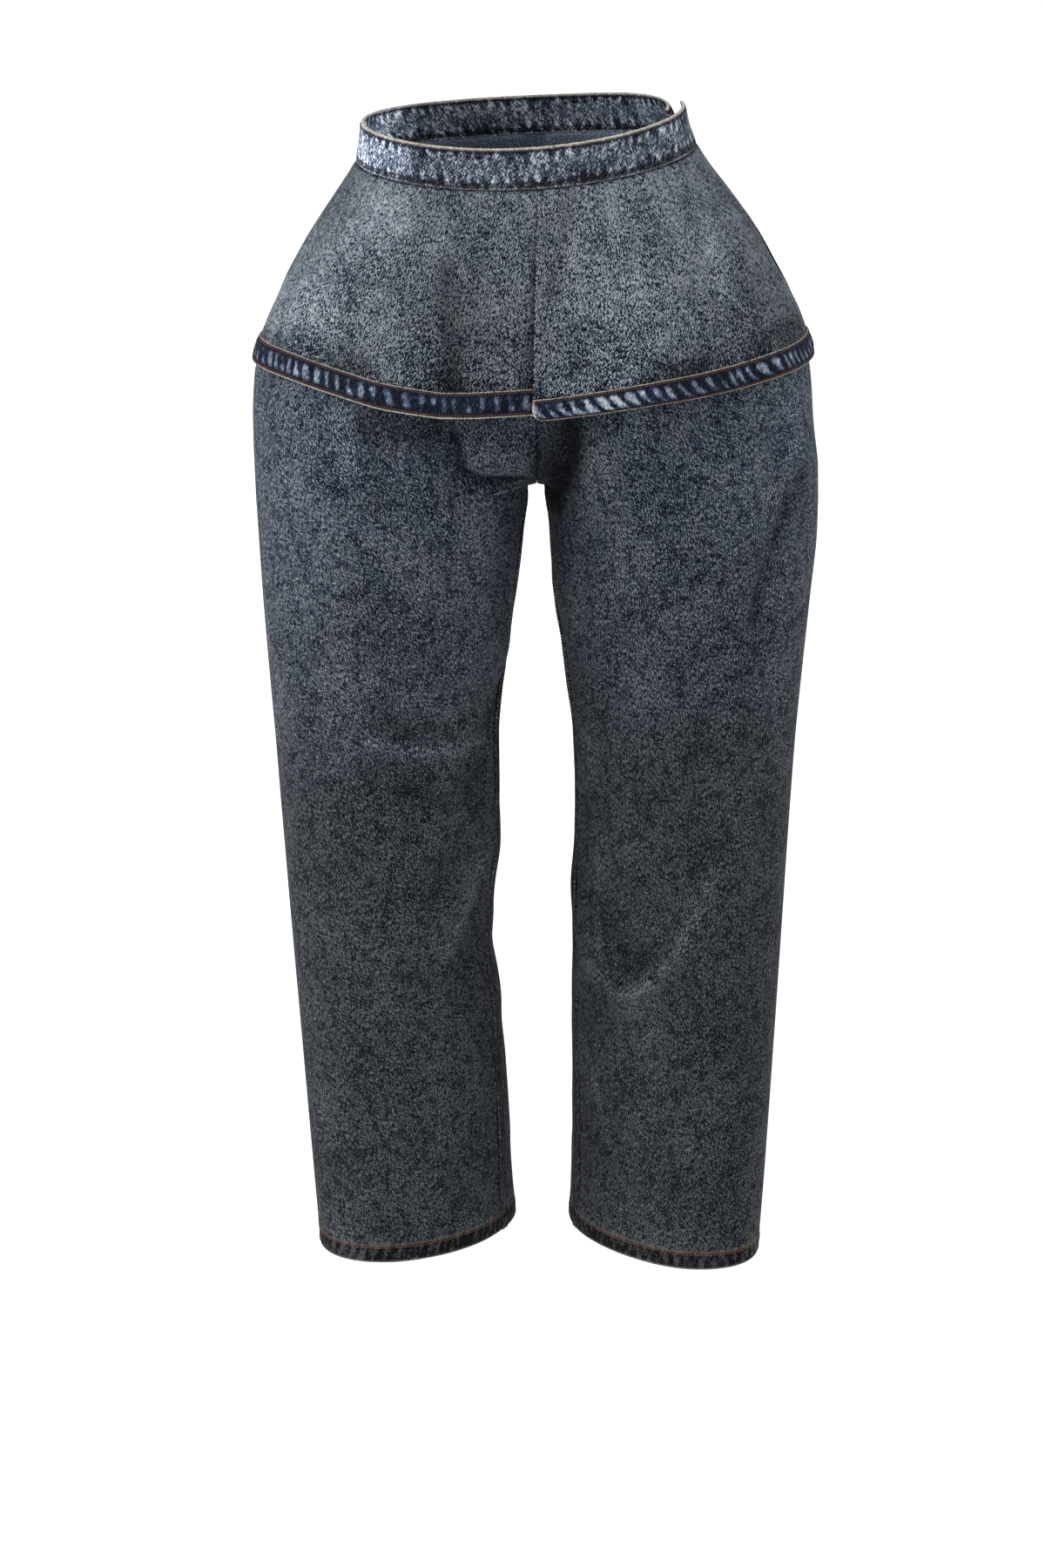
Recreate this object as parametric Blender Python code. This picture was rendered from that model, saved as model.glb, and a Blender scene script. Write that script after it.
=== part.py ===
"""High-waisted wide-leg denim trousers with an attached peplum, as cloth panels in their worn shape.

Sizes are in millimetres and every point is turned to metres as its mesh is made. +Z is up, +Y is
towards the back, and +X is the wearer's left. The origin is in the middle of the waist opening, at
the mean height of the waist seam at the sides. Angles round the waist start at the wearer's left
side and run over the back: 90 is the centre back, 180 the right side and 270 the centre front.
"""

from collections import namedtuple
from math import acos, cos, exp, radians, sin

import bmesh
import bpy
import numpy as np

MM = 0.001
SHARP_ANGLE = 40.0

# The cloth, the gap left at each seam, and the plane of the centre seams
CLOTH = 1.2
BAND_CLOTH = 3.0
SEAM_GAP = 0.3
CENTRE_X = 3.0

# The waist seam's height: its tilt across, its rise from front to back, and its dip
WAIST_TILT = 0.0486
WAIST_CENTRE_X = -6.0
WAIST_FRONT_BACK = 15.5
WAIST_DIP = -7.5

# The waistband, with lap, tuck and turn in degrees round the waist
WAISTBAND_HEIGHT = 33.0
WAISTBAND_LAP = 8.0
WAISTBAND_TUCK = 10.0
TUCK_TURN = (14.0, 60.0)
TUCK_DEPTH = 4.0
TUCK_SLACK = 9.0

# The peplum and its lap at the centre front, where LAP_BEGINS, LAP_OPENS and LAP_FULL are shares
# of the way down from the waist and LAP_TURN is in degrees
PEPLUM_BAND_HEIGHT = 21.5
LAP_TOP_X = 3.7
LAP_HEM_X = -1.0
LAP_WIDTH = 10.0
LAP_BEGINS = 0.05
LAP_OPENS = 0.13
LAP_FULL = 0.26
LAP_DEPTH = 1.9
LAP_HEM_DEPTH = 8.0
LAP_TURN = 24.0
LAP_FLAT = 3.0
LEFT_HEM_DROP = 3.5

# The trousers. A level is a distance down from the waist seam
CROTCH_LEVEL = 280.0
FADE_LEVEL = 200.0
CROTCH_BLEND = 130.0
CROTCH_POWER = 0.8
CROTCH_LOCAL = 5.0
PINCH = 9.0
PINCH_DROP = 4.0
PINCH_ANGLE = 28.0
TROUSER_HEM = 15.0
HEM_STEP = 0.6
OUTSEAM_HOLD = 3.0
CENTRE_HOLD = 14.0
FOLD_END = 1.6

Ring = namedtuple("Ring", "down right left front back")
PEPLUM = [
    Ring(0.00, -150, 138, -112, 112),
    Ring(0.10, -161, 150, -119, 120),
    Ring(0.25, -178, 171, -130, 132),
    Ring(0.40, -194, 190, -142, 145),
    Ring(0.55, -208, 205, -154, 157),
    Ring(0.70, -220, 220, -166, 169),
    Ring(0.85, -231, 232, -178, 181),
    Ring(1.00, -239.5, 239.5, -188.5, 193.5),
]
BandRing = namedtuple("BandRing", "up right left front back")
WAISTBAND = [
    BandRing(0.0, -150, 138, -112, 112),
    BandRing(0.5, -148, 132, -110, 110.5),
    BandRing(1.0, -146, 128, -107, 108),
]

Hem = namedtuple("Hem", "angle z bulge")
PEPLUM_HEM = [
    Hem(0, -169, 0),
    Hem(35, -170, 3),
    Hem(65, -171, -5),
    Hem(90, -171, 4),
    Hem(118, -171, -5),
    Hem(148, -171, 3),
    Hem(180, -174, 0),
    Hem(205, -178, 1),
    Hem(225, -189, -3),
    Hem(241, -199, -1),
    Hem(257, -202.5, 4),
    Hem(271, -200, -1),
    Hem(289, -195, 1),
    Hem(304, -190, -3),
    Hem(327, -179, 1),
    Hem(360, -169, 0),
]

Section = namedtuple("Section", "level outer inner front back skew inseam")
RIGHT_LEG = [
    Section(0, -148.1, 3, -110.1, 110.1, 0, 0),
    Section(30, -166, 3, -114.5, 121, 0, 0),
    Section(60, -183.5, 3, -122, 133, 0, 0),
    Section(95, -202, 3, -130, 145, 0, 0),
    Section(130, -218.5, 3, -137, 154, 0, 0),
    Section(165, -234, 3, -141, 158, 0, 0),
    Section(189, -239, 3, -142, 158, 0, 0),
    Section(227, -241, 3, -140, 154, 0, 0),
    Section(280, -240, 3, -131, 139, 0, 0),
    Section(320, -238, -7, -124, 127, 1, 3),
    Section(380, -234.5, -15, -117, 114, 5, 8),
    Section(442, -230, -24, -111, 108, 9, 11),
    Section(504, -225, -29, -107, 105, 13, 14),
    Section(567, -220.5, -29, -105, 104, 17, 16),
    Section(695, -211, -35, -101, 101, 24, 20),
    Section(760, -206, -28, -98, 98, 27, 22),
    Section(892, -196, -20, -92, 93, 32, 27),
    Section(963, -190.5, -16, -90, 90, 34, 29),
]
LEFT_LEG = [
    Section(0, 136.1, 3, -110.1, 110.1, 0, 0),
    Section(30, 157, 3, -114.5, 121, 0, 0),
    Section(60, 178.5, 3, -122, 133, 0, 0),
    Section(95, 198.5, 3, -130, 145, 0, 0),
    Section(130, 218, 3, -137, 154, 0, 0),
    Section(165, 233.5, 3, -141, 158, 0, 0),
    Section(189, 238, 3, -142, 158, 0, 0),
    Section(227, 241, 3, -140, 154, 0, 0),
    Section(280, 246.5, 3, -131, 139, 0, 0),
    Section(320, 246, 13, -124, 127, 1, 3),
    Section(380, 240.5, 19, -117, 114, 6, 7),
    Section(442, 234.5, 28, -111, 108, 11, 9),
    Section(504, 229, 35, -107, 105, 16, 11),
    Section(567, 225, 37, -106, 104, 20, 13),
    Section(695, 218, 35, -103, 102, 28, 16),
    Section(760, 214.5, 35, -101, 101, 31, 18),
    Section(892, 207, 36, -97, 98, 37, 21),
    Section(967, 202, 34, -96, 96, 40, 22),
]

Fold = namedtuple("Fold", "x0 z0 x1 z1 height width")
FRONT_FOLDS = [
    Fold(-72, -222, -60, -262, -7, 13),
    Fold(-58, -268, -14, -272, -6, 9),
    Fold(-40, -240, -20, -246, 5, 20),
    Fold(-118, -300, -40, -420, 4, 20),
    Fold(-180, -270, -166, -350, 4, 18),
    Fold(-34, -450, -48, -540, -4, 14),
    Fold(-150, -640, -90, -560, 3, 22),
    Fold(-60, -700, -150, -790, -3, 22),
    Fold(14, -268, 38, -214, -8, 11),
    Fold(48, -274, 74, -212, 5, 18),
    Fold(210, -220, 198, -372, -5, 15),
    Fold(176, -250, 160, -340, 3, 18),
    Fold(50, -728, 99, -714, 6, 14),
    Fold(99, -714, 160, -636, 6, 16),
    Fold(60, -660, 76, -704, -5, 13),
    Fold(76, -704, 118, -668, -5, 13),
    Fold(180, -560, 120, -500, 3, 22),
]
BACK_FOLDS = [
    Fold(-190, -262, -60, -300, -6, 16),
    Fold(-200, -330, -70, -352, 4, 20),
    Fold(-60, -250, -16, -268, -5, 12),
    Fold(-170, -650, -70, -690, -5, 18),
    Fold(-60, -610, -150, -600, 4, 20),
    Fold(190, -258, 66, -302, -6, 16),
    Fold(204, -324, 80, -356, 4, 20),
    Fold(64, -248, 18, -266, -5, 12),
    Fold(80, -700, 180, -640, -6, 18),
    Fold(70, -640, 170, -600, 4, 20),
]

# How finely each panel is divided
TORSO_LEVELS = [0, 16, 36, 62, 92, 122, 152, 180, 206, 230, 247, 260, 269, 274.5, 277.8, 279.3, 280]
DROPS = [1.2, 4, 9, 18, 34, 56, 84, 116, 150, 184, 218, 252, 286, 320, 354, 388, 424, 466, 514, 566, 618]
LEG_COLUMNS = 12
FRONT_COLUMNS = 14
BACK_COLUMNS = 26
PEPLUM_DOWNS = [0, 0.06, 0.12, 0.2, 0.34, 0.5, 0.66, 0.8, 0.9, 1.0]
BAND_ROWS = 2
WAISTBAND_STEP = 5.5

DENIM = (0.095, 0.125, 0.17, 1)
BAND_DENIM = (0.16, 0.19, 0.23, 1)
HEM_DENIM = (0.035, 0.04, 0.055, 1)
DENIM_ROUGHNESS = 0.85


def smooth(amount):
    """0 below 0, 1 above 1, and a soft step between."""
    amount = min(1.0, max(0.0, amount))
    return amount * amount * (3 - 2 * amount)


def mix(start, end, amount):
    return start + (end - start) * amount


def follow(places, values, place):
    """A smooth curve through a table's values, which never swings past them."""
    places, values = np.asarray(places, float), np.asarray(values, float)
    steps = np.diff(values) / np.diff(places)
    slopes = np.empty(len(places))
    slopes[0], slopes[-1] = steps[0], steps[-1]
    for i in range(1, len(steps)):
        same_way = steps[i - 1] * steps[i] > 0
        slopes[i] = 2 * steps[i - 1] * steps[i] / (steps[i - 1] + steps[i]) if same_way else 0
    i = int(np.clip(np.searchsorted(places, place) - 1, 0, len(steps) - 1))
    width = places[i + 1] - places[i]
    u = min(1.0, max(0.0, (place - places[i]) / width))
    return (
        values[i] * (1 + 2 * u) * (1 - u) ** 2
        + slopes[i] * width * u * (1 - u) ** 2
        + values[i + 1] * u * u * (3 - 2 * u)
        - slopes[i + 1] * width * u * u * (1 - u)
    )


def column(table, field):
    return [getattr(row, field) for row in table]


def row_at(table, place):
    """The table's row at a place between its rows, its fields after the first in a tuple."""
    fields = table[0]._fields
    places = column(table, fields[0])
    return [follow(places, column(table, field), place) for field in fields[1:]]


def ring_point(ring, angle):
    """The point of an oval at an angle, and how far it is towards the back, from -1 to 1."""
    right, left, front, back = ring
    side, towards_back = cos(radians(angle)), sin(radians(angle))
    x = (right + left) / 2 + (left - right) / 2 * side
    y = towards_back * (back if towards_back > 0 else -front)
    return x, y, towards_back


def waist_height(x, towards_back):
    """The height of the waist seam, which dips at the front and is tilted to the wearer's right."""
    tilt = WAIST_TILT * (x - WAIST_CENTRE_X)
    return tilt + WAIST_FRONT_BACK * towards_back + WAIST_DIP * towards_back**2


def grid_normals(grid, closed_rows=None, turn=1):
    """Unit normals of a grid of points, rows first. The rows in closed_rows run on round."""
    across = np.empty_like(grid)
    across[:, 1:-1] = grid[:, 2:] - grid[:, :-2]
    across[:, 0] = grid[:, 1] - grid[:, 0]
    across[:, -1] = grid[:, -1] - grid[:, -2]
    if closed_rows is not None:
        round_step = grid[closed_rows, 1] - grid[closed_rows, -2]
        across[closed_rows, 0] = round_step
        across[closed_rows, -1] = round_step
    down = np.gradient(grid, axis=0)
    if closed_rows is not None:
        crotch = closed_rows.start
        ends = [0, 1, -2, -1]
        down[crotch, ends] = grid[crotch + 1, ends] - grid[crotch, ends]
    normals = np.cross(down, across) * turn
    normals /= np.linalg.norm(normals, axis=2, keepdims=True)
    return normals


def within_seams(grid):
    """The points and normals of a grid without the column that it has beyond each of its seams."""
    return grid[:, 1:-1].copy(), grid_normals(grid)[:, 1:-1]


def inset_edge(points, edge, inside, distance):
    """Moves a grid's edge column towards the column inside it, to leave the seam's gap."""
    step = points[:, inside] - points[:, edge]
    points[:, edge] += step / np.linalg.norm(step, axis=1, keepdims=True) * distance


def cloth_material(name, colour):
    material = bpy.data.materials.new(name)
    material.use_nodes = True
    shader = material.node_tree.nodes["Principled BSDF"]
    shader.inputs["Base Color"].default_value = colour
    shader.inputs["Roughness"].default_value = DENIM_ROUGHNESS
    material.diffuse_color = colour
    return material


def wall(name, outer, inner, material):
    """A closed solid between two grids of points, split on the same diagonals on both sides."""
    rows, columns = outer.shape[:2]
    points = np.concatenate([outer.reshape(-1, 3), inner.reshape(-1, 3)]) * MM
    behind = rows * columns
    faces = []
    for i in range(rows - 1):
        for j in range(columns - 1):
            a, b = i * columns + j, i * columns + j + 1
            c, d = b + columns, a + columns
            faces += [(a, b, c), (a, c, d)]
            faces += [(a + behind, c + behind, b + behind), (a + behind, d + behind, c + behind)]
    top = list(range(columns))
    right = [i * columns + columns - 1 for i in range(1, rows)]
    bottom = [(rows - 1) * columns + j for j in range(columns - 2, -1, -1)]
    left = [i * columns for i in range(rows - 2, 0, -1)]
    border = top + right + bottom + left
    for a, b in zip(border, border[1:] + border[:1]):
        faces += [(a, b + behind, b), (a, a + behind, b + behind)]
    mesh = bpy.data.meshes.new(name)
    mesh.from_pydata([tuple(point) for point in points], [], faces)
    shape = bmesh.new()
    shape.from_mesh(mesh)
    bmesh.ops.recalc_face_normals(shape, faces=shape.faces)
    shape.to_mesh(mesh)
    shape.free()
    mesh.materials.append(material)
    mesh.shade_smooth()
    mesh.set_sharp_from_angle(angle=radians(SHARP_ANGLE))
    piece = bpy.data.objects.new(name, mesh)
    bpy.context.scene.collection.objects.link(piece)
    return piece


def offset_wall(name, outer, normals, thickness, material):
    return wall(name, outer, outer - normals * thickness, material)


def peplum_point(angle, down):
    """The outer face of the peplum at an angle round it, down from 0 at the waist to 1 at the hem."""
    x, y, towards_back = ring_point(row_at(PEPLUM, down), angle)
    waist_x = ring_point(row_at(PEPLUM, 0), angle)[0]
    hem_z, bulge = row_at(PEPLUM_HEM, angle % 360)
    z = mix(waist_height(waist_x, towards_back) - SEAM_GAP, hem_z, down)
    out = bulge * down**1.5
    return np.array([x + out * cos(radians(angle)), y + out * towards_back, z])


def lap_angle(down, beyond=0.0):
    """The angle of the front lap's edge, or of a line beyond it to the wearer's left."""
    x = mix(LAP_TOP_X, LAP_HEM_X, down) + beyond
    right, left = row_at(PEPLUM, down)[:2]
    return 270 + (90 - np.degrees(acos((x - (right + left) / 2) / ((left - right) / 2))))


def peplum_grid(start, end, columns, front_right=False, front_left=False):
    """Points and normals of one peplum panel. start and end give each edge's angle at a place down."""
    grid = np.empty((len(PEPLUM_DOWNS), columns + 3, 3))
    for i, down in enumerate(PEPLUM_DOWNS):
        first, last = start(down), end(down)
        for j in range(columns + 3):
            angle = mix(first, last, (j - 1) / columns)
            point = peplum_point(angle, down)
            out = np.array([cos(radians(angle)), sin(radians(angle)), 0])
            if front_right:
                depth = LAP_DEPTH * smooth((down - LAP_BEGINS) / (LAP_OPENS - LAP_BEGINS))
                depth += LAP_HEM_DEPTH * down**2
                turned = (angle - lap_angle(down) + LAP_TURN) / (LAP_TURN - LAP_FLAT)
                point -= out * depth * smooth(turned)
            if front_left:
                near = smooth(1 - (angle - lap_angle(down)) / LAP_TURN)
                point[2] -= LEFT_HEM_DROP * down**2 * near
            grid[i, j] = point
    return within_seams(grid)


def lap_under(down):
    """How far the right front runs on under the left one."""
    return mix(-SEAM_GAP, LAP_WIDTH, smooth((down - LAP_OPENS) / (LAP_FULL - LAP_OPENS)))


def band_on(panel_name, grid, normals, material):
    """The hem band of one peplum panel: its lowest stretch, moved out from the panel's face."""
    rows = []
    for step in range(BAND_ROWS + 1):
        up = PEPLUM_BAND_HEIGHT * (1 - step / BAND_ROWS)
        strip, strip_normals = [], []
        for j in range(grid.shape[1]):
            lengths = np.linalg.norm(np.diff(grid[::-1, j], axis=0), axis=1).cumsum()
            i = int(np.searchsorted(lengths, up))
            below = lengths[i - 1] if i else 0.0
            share = (up - below) / (lengths[i] - below)
            last = len(grid) - 1 - i
            strip.append(mix(grid[last, j], grid[last - 1, j], share))
            strip_normals.append(mix(normals[last, j], normals[last - 1, j], share))
        rows.append((strip, strip_normals))
    face = np.array([row[0] for row in rows])
    facing = np.array([row[1] for row in rows])
    facing /= np.linalg.norm(facing, axis=2, keepdims=True)
    inner = face + facing * SEAM_GAP
    return wall(panel_name.replace("peplum", "peplum_band"), inner + facing * CLOTH, inner, material)


def make_peplum(denim, hem_denim):
    def under_edge(down):
        return lap_angle(down, lap_under(down))

    panels = [
        ("peplum_front_right", lambda down: 180, under_edge, FRONT_COLUMNS, {"front_right": True}),
        ("peplum_front_left", lap_angle, lambda down: 360, FRONT_COLUMNS, {"front_left": True}),
        ("peplum_back", lambda down: 0, lambda down: 180, BACK_COLUMNS, {}),
    ]
    for name, start, end, columns, lap in panels:
        grid, normals = peplum_grid(start, end, columns, **lap)
        if not lap.get("front_left"):
            inset_edge(grid, 0, 1, SEAM_GAP / 2)
        if not lap.get("front_right"):
            inset_edge(grid, -1, -2, SEAM_GAP / 2)
        offset_wall(name, grid, normals, CLOTH, denim)
        band_on(name, grid, normals, hem_denim)


def waistband_grid(start, end, tucked=False):
    """Points and normals of one waistband piece, its top edge first."""
    columns = int(round((end - start) / WAISTBAND_STEP))
    grid = np.empty((len(WAISTBAND), columns + 3, 3))
    for i, up in enumerate(column(WAISTBAND, "up")[::-1]):
        for j in range(columns + 3):
            angle = mix(start, end, (j - 1) / columns)
            x, y, towards_back = ring_point(row_at(WAISTBAND, up), angle)
            waist_x = ring_point(row_at(WAISTBAND, 0), angle)[0]
            z = waist_height(waist_x, towards_back) + up * WAISTBAND_HEIGHT
            turned = 0.0
            if tucked:
                turned = smooth((TUCK_TURN[1] - angle) / (TUCK_TURN[1] - TUCK_TURN[0]))
            inward = (TUCK_DEPTH + TUCK_SLACK * up) * turned
            grid[i, j] = (x - inward * cos(radians(angle)), y - inward * towards_back, z)
    return within_seams(grid)


def make_waistband(denim):
    for name, start, end, tucked in (
        ("waistband_front", 180, 360 + WAISTBAND_LAP, False),
        ("waistband_back", -WAISTBAND_TUCK, 180, True),
    ):
        grid, normals = waistband_grid(start, end, tucked)
        seam_edge, inside = (-1, -2) if tucked else (0, 1)
        inset_edge(grid, seam_edge, inside, SEAM_GAP / 2)
        inner = grid - normals * BAND_CLOTH
        inner[..., 2] = grid[..., 2]
        wall(name, grid, inner, denim)


def fold_height(x, z, folds):
    """How far the folds lift the cloth at a place seen from the front or the back."""
    height = 0.0
    for fold in folds:
        along = np.array([fold.x1 - fold.x0, fold.z1 - fold.z0])
        length = np.linalg.norm(along)
        along = along / length
        from_start = np.array([x - fold.x0, z - fold.z0])
        distance = from_start @ along
        aside = abs(from_start[0] * along[1] - from_start[1] * along[0])
        beyond = max(0.0, -distance, distance - length)
        faded = (aside / fold.width) ** 2 + (beyond / (FOLD_END * fold.width)) ** 2
        height += fold.height * exp(-faded)
    return height


def across_at(target, gap, power):
    """Where a torso section has its place in a whole oval. It is cut at the centre seam, at 0."""
    low, high = 0.0, 1.0
    for _ in range(30):
        middle = (low + high) / 2
        if middle + gap * (1 - middle) ** power < target:
            low = middle
        else:
            high = middle
    return middle if target > gap else 0.0


def leg_row(leg, level, side):
    """One row of a leg's points, from its front centre edge or inseam, over the outseam, to the back."""
    outer, inner, front, back, skew, inseam = row_at(leg, level)
    other = LEFT_LEG if leg is RIGHT_LEG else RIGHT_LEG
    inner = (CENTRE_X if level <= CROTCH_LEVEL else inner) + side * SEAM_GAP / 2
    gap, power, pinch = 0.0, 1.0, 0.0
    if level > CROTCH_LEVEL:
        u = (level - CROTCH_LEVEL) / PINCH_DROP
        pinch = side * PINCH * (u * exp(1 - u)) ** 0.5
    else:
        inseam = 0.0
        height = min(1.0, (CROTCH_LEVEL - level) / CROTCH_BLEND)
        ring_centre = ((outer + row_at(other, level)[0]) / 2 - inner) / (outer - inner)
        whole = (1 - ring_centre / (1 - ring_centre)) / 2
        gap = whole * height**CROTCH_POWER
        power = 1 + CROTCH_LOCAL * (1 - gap / whole) ** 2
    cut_off = 180 - np.degrees(acos(2 * gap - 1))
    crowding = 1 + CROTCH_LOCAL * max(0.0, 1 - cut_off / 90) ** 2
    fade = max(0.0, 1 - level / FADE_LEVEL)
    waist_half = (WAISTBAND[0].left - WAISTBAND[0].right) / 2
    points = []
    for j in range(2 * LEG_COLUMNS + 1):
        share = abs(1 - j / LEG_COLUMNS)
        way = 1 if j < LEG_COLUMNS else -1
        theta = way * radians(share * (180 - way * inseam) - cut_off * share**crowding)
        target = (1 + cos(theta)) / 2
        across = across_at(target, gap, power) if gap > 0 else target
        y = (front if theta > 0 else -back) * sin(theta) - skew * cos(theta)
        from_inseam = 180 - abs(np.degrees(theta))
        x = inner + across * (outer - inner) + pinch * exp(-((from_inseam / PINCH_ANGLE) ** 2))
        at_waist = WAIST_CENTRE_X + waist_half * side * cos(theta)
        z = -level + (waist_height(at_waist, -sin(theta)) - SEAM_GAP) * fade
        points.append((x, y, z))
    return points


def leg_grid(leg, side):
    hem = leg[-1].level
    below = [CROTCH_LEVEL + drop for drop in DROPS]
    levels = TORSO_LEVELS + below + [hem - TROUSER_HEM - HEM_STEP, hem - TROUSER_HEM, hem]
    grid = np.array([leg_row(leg, level, side) for level in levels])
    closed = slice(TORSO_LEVELS.index(CROTCH_LEVEL), None)
    return levels, closed, grid, grid_normals(grid, closed, side)


def keep_side(points, side):
    """Holds a leg's points on its own side of the centre seam."""
    limit = CENTRE_X + side * SEAM_GAP / 2
    nearest = np.maximum if side > 0 else np.minimum
    points[..., 0] = nearest(points[..., 0], limit)


def make_leg(leg, side, word, denim):
    levels, closed, grid, normals = leg_grid(leg, side)
    for j in range(grid.shape[1]):
        folds = FRONT_FOLDS if j < LEG_COLUMNS else BACK_FOLDS
        from_outseam = smooth(abs(j - LEG_COLUMNS) / OUTSEAM_HOLD)
        for i, level in enumerate(levels):
            x, _, z = grid[i, j]
            from_centre = smooth(abs(x - CENTRE_X) / CENTRE_HOLD) if level <= CROTCH_LEVEL else 1
            grid[i, j] += normals[i, j] * fold_height(x, z, folds) * from_outseam * from_centre
    joined = (grid[closed, 0] + grid[closed, -1]) / 2
    grid[closed, 0] = joined
    grid[closed, -1] = joined
    keep_side(grid, side)
    thick = np.full((len(levels), 1, 1), CLOTH)
    thick[-2:] = 2 * CLOTH
    inner = grid - normals * thick
    keep_side(inner, side)
    first, last = (0, 1), (-1, -2)
    for name, part, outseam, inseam in (
        ("front", slice(0, LEG_COLUMNS + 1), last, first),
        ("back", slice(LEG_COLUMNS, None), first, last),
    ):
        outside, inside = grid[:, part].copy(), inner[:, part].copy()
        for points in (outside, inside):
            inset_edge(points, *outseam, SEAM_GAP / 2)
            inset_edge(points[closed], *inseam, SEAM_GAP / 2)
        wall(f"leg_{name}_{word}", outside, inside, denim)


def main():
    for old in list(bpy.data.objects):
        bpy.data.objects.remove(old, do_unlink=True)
    denim = cloth_material("stone_washed_denim", DENIM)
    band_denim = cloth_material("pale_waistband_denim", BAND_DENIM)
    hem_denim = cloth_material("dark_hem_denim", HEM_DENIM)
    make_waistband(band_denim)
    make_peplum(denim, hem_denim)
    make_leg(RIGHT_LEG, -1, "right", denim)
    make_leg(LEFT_LEG, 1, "left", denim)


main()
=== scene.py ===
"""The looks of high-waisted wide-leg denim trousers with an attached peplum.

Every panel is a fine shell on the form of its solid, with its creases, seams and hems, and
Geometry Nodes lay the stitches. Sizes are in millimetres until a mesh is made, in the solids'
frame: +Z is up, +Y is towards the wearer's back and +X is the wearer's left. Angles round the waist
start at the wearer's left side and run over the back, so 270 is the centre front.
"""

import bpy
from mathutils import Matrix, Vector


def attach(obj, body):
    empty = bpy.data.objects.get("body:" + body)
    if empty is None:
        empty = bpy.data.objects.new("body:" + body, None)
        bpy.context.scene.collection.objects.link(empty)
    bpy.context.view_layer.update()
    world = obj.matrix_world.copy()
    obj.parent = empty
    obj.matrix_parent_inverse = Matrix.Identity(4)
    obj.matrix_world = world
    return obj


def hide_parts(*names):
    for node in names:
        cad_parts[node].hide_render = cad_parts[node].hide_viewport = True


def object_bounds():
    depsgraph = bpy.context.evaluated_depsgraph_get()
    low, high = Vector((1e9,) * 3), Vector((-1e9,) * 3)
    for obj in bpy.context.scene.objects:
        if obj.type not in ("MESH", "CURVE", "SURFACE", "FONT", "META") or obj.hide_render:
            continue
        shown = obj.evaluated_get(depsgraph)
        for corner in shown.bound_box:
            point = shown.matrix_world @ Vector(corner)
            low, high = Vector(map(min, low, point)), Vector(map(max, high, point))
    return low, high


bl_info = {
    "name": "Wide-Leg Peplum Trousers",
    "version": (1, 0, 0),
    "blender": (4, 5, 0),
    "location": "3D View > Sidebar > Trousers",
    "description": "Builds the denim, seams and stitching of wide-leg peplum trousers",
    "category": "Object",
}

from collections import namedtuple
from math import cos, radians, sin

import bpy
import numpy as np
from bpy.props import FloatProperty, FloatVectorProperty, PointerProperty
from mathutils import Euler, Vector

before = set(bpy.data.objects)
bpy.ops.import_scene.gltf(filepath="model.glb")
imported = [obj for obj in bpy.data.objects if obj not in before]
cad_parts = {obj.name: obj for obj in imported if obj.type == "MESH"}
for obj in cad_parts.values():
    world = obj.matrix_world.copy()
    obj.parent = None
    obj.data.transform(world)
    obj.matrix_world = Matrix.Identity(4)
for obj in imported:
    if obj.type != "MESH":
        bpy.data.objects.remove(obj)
CAD_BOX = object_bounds()
BODY = "root"
MM = 0.001

# The cloth, the gap left at each seam, and the plane of the centre seams
CLOTH = 1.2
BAND_CLOTH = 3.0
SEAM_GAP = 0.3
CENTRE_X = 3.0

# The waist seam's height: its tilt across, its rise from front to back, and its dip
WAIST_TILT = 0.0486
WAIST_CENTRE_X = -6.0
WAIST_FRONT_BACK = 15.5
WAIST_DIP = -7.5

# The waistband, with lap, tuck and turn in degrees round the waist, and a degree's width there
WAISTBAND_HEIGHT = 33.0
WAISTBAND_LAP = 8.0
WAISTBAND_TUCK = 10.0
TUCK_TURN = (14.0, 60.0)
TUCK_DEPTH = 4.0
TUCK_SLACK = 9.0
WAISTBAND_DEGREE = 2.3

# The peplum and its lap at the centre front, where LAP_BEGINS, LAP_OPENS and LAP_FULL are shares
# of the way down from the waist and LAP_TURN is in degrees. A radius turns angles into widths
PEPLUM_BAND_HEIGHT = 21.5
PEPLUM_LENGTH = 190.0
PEPLUM_RADIUS = 215.0
PLEAT_RADIUS = 200.0
LAP_TOP_X = 3.7
LAP_HEM_X = -1.0
LAP_WIDTH = 10.0
LAP_BEGINS = 0.05
LAP_OPENS = 0.13
LAP_FULL = 0.26
LAP_DEPTH = 1.9
LAP_HEM_DEPTH = 8.0
LAP_TURN = 24.0
LAP_FLAT = 3.0
LAP_CORNER = 8.0
LEFT_HEM_DROP = 3.5

# The trousers. A level is a distance down from the waist seam
CROTCH_LEVEL = 280.0
FADE_LEVEL = 200.0
CROTCH_BLEND = 130.0
CROTCH_POWER = 0.8
CROTCH_LOCAL = 5.0
PINCH = 7.5
PINCH_DROP = 7.0
PINCH_ANGLE = 28.0
CROTCH_EASE = 16.0
TROUSER_HEM = 15.0
OUTSEAM_HOLD = 0.25
CENTRE_HOLD = 14.0
FOLD_END = 1.6
LEG_PANEL_WIDTH = 340.0
CENTRE_CLEAR = 0.05

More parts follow.
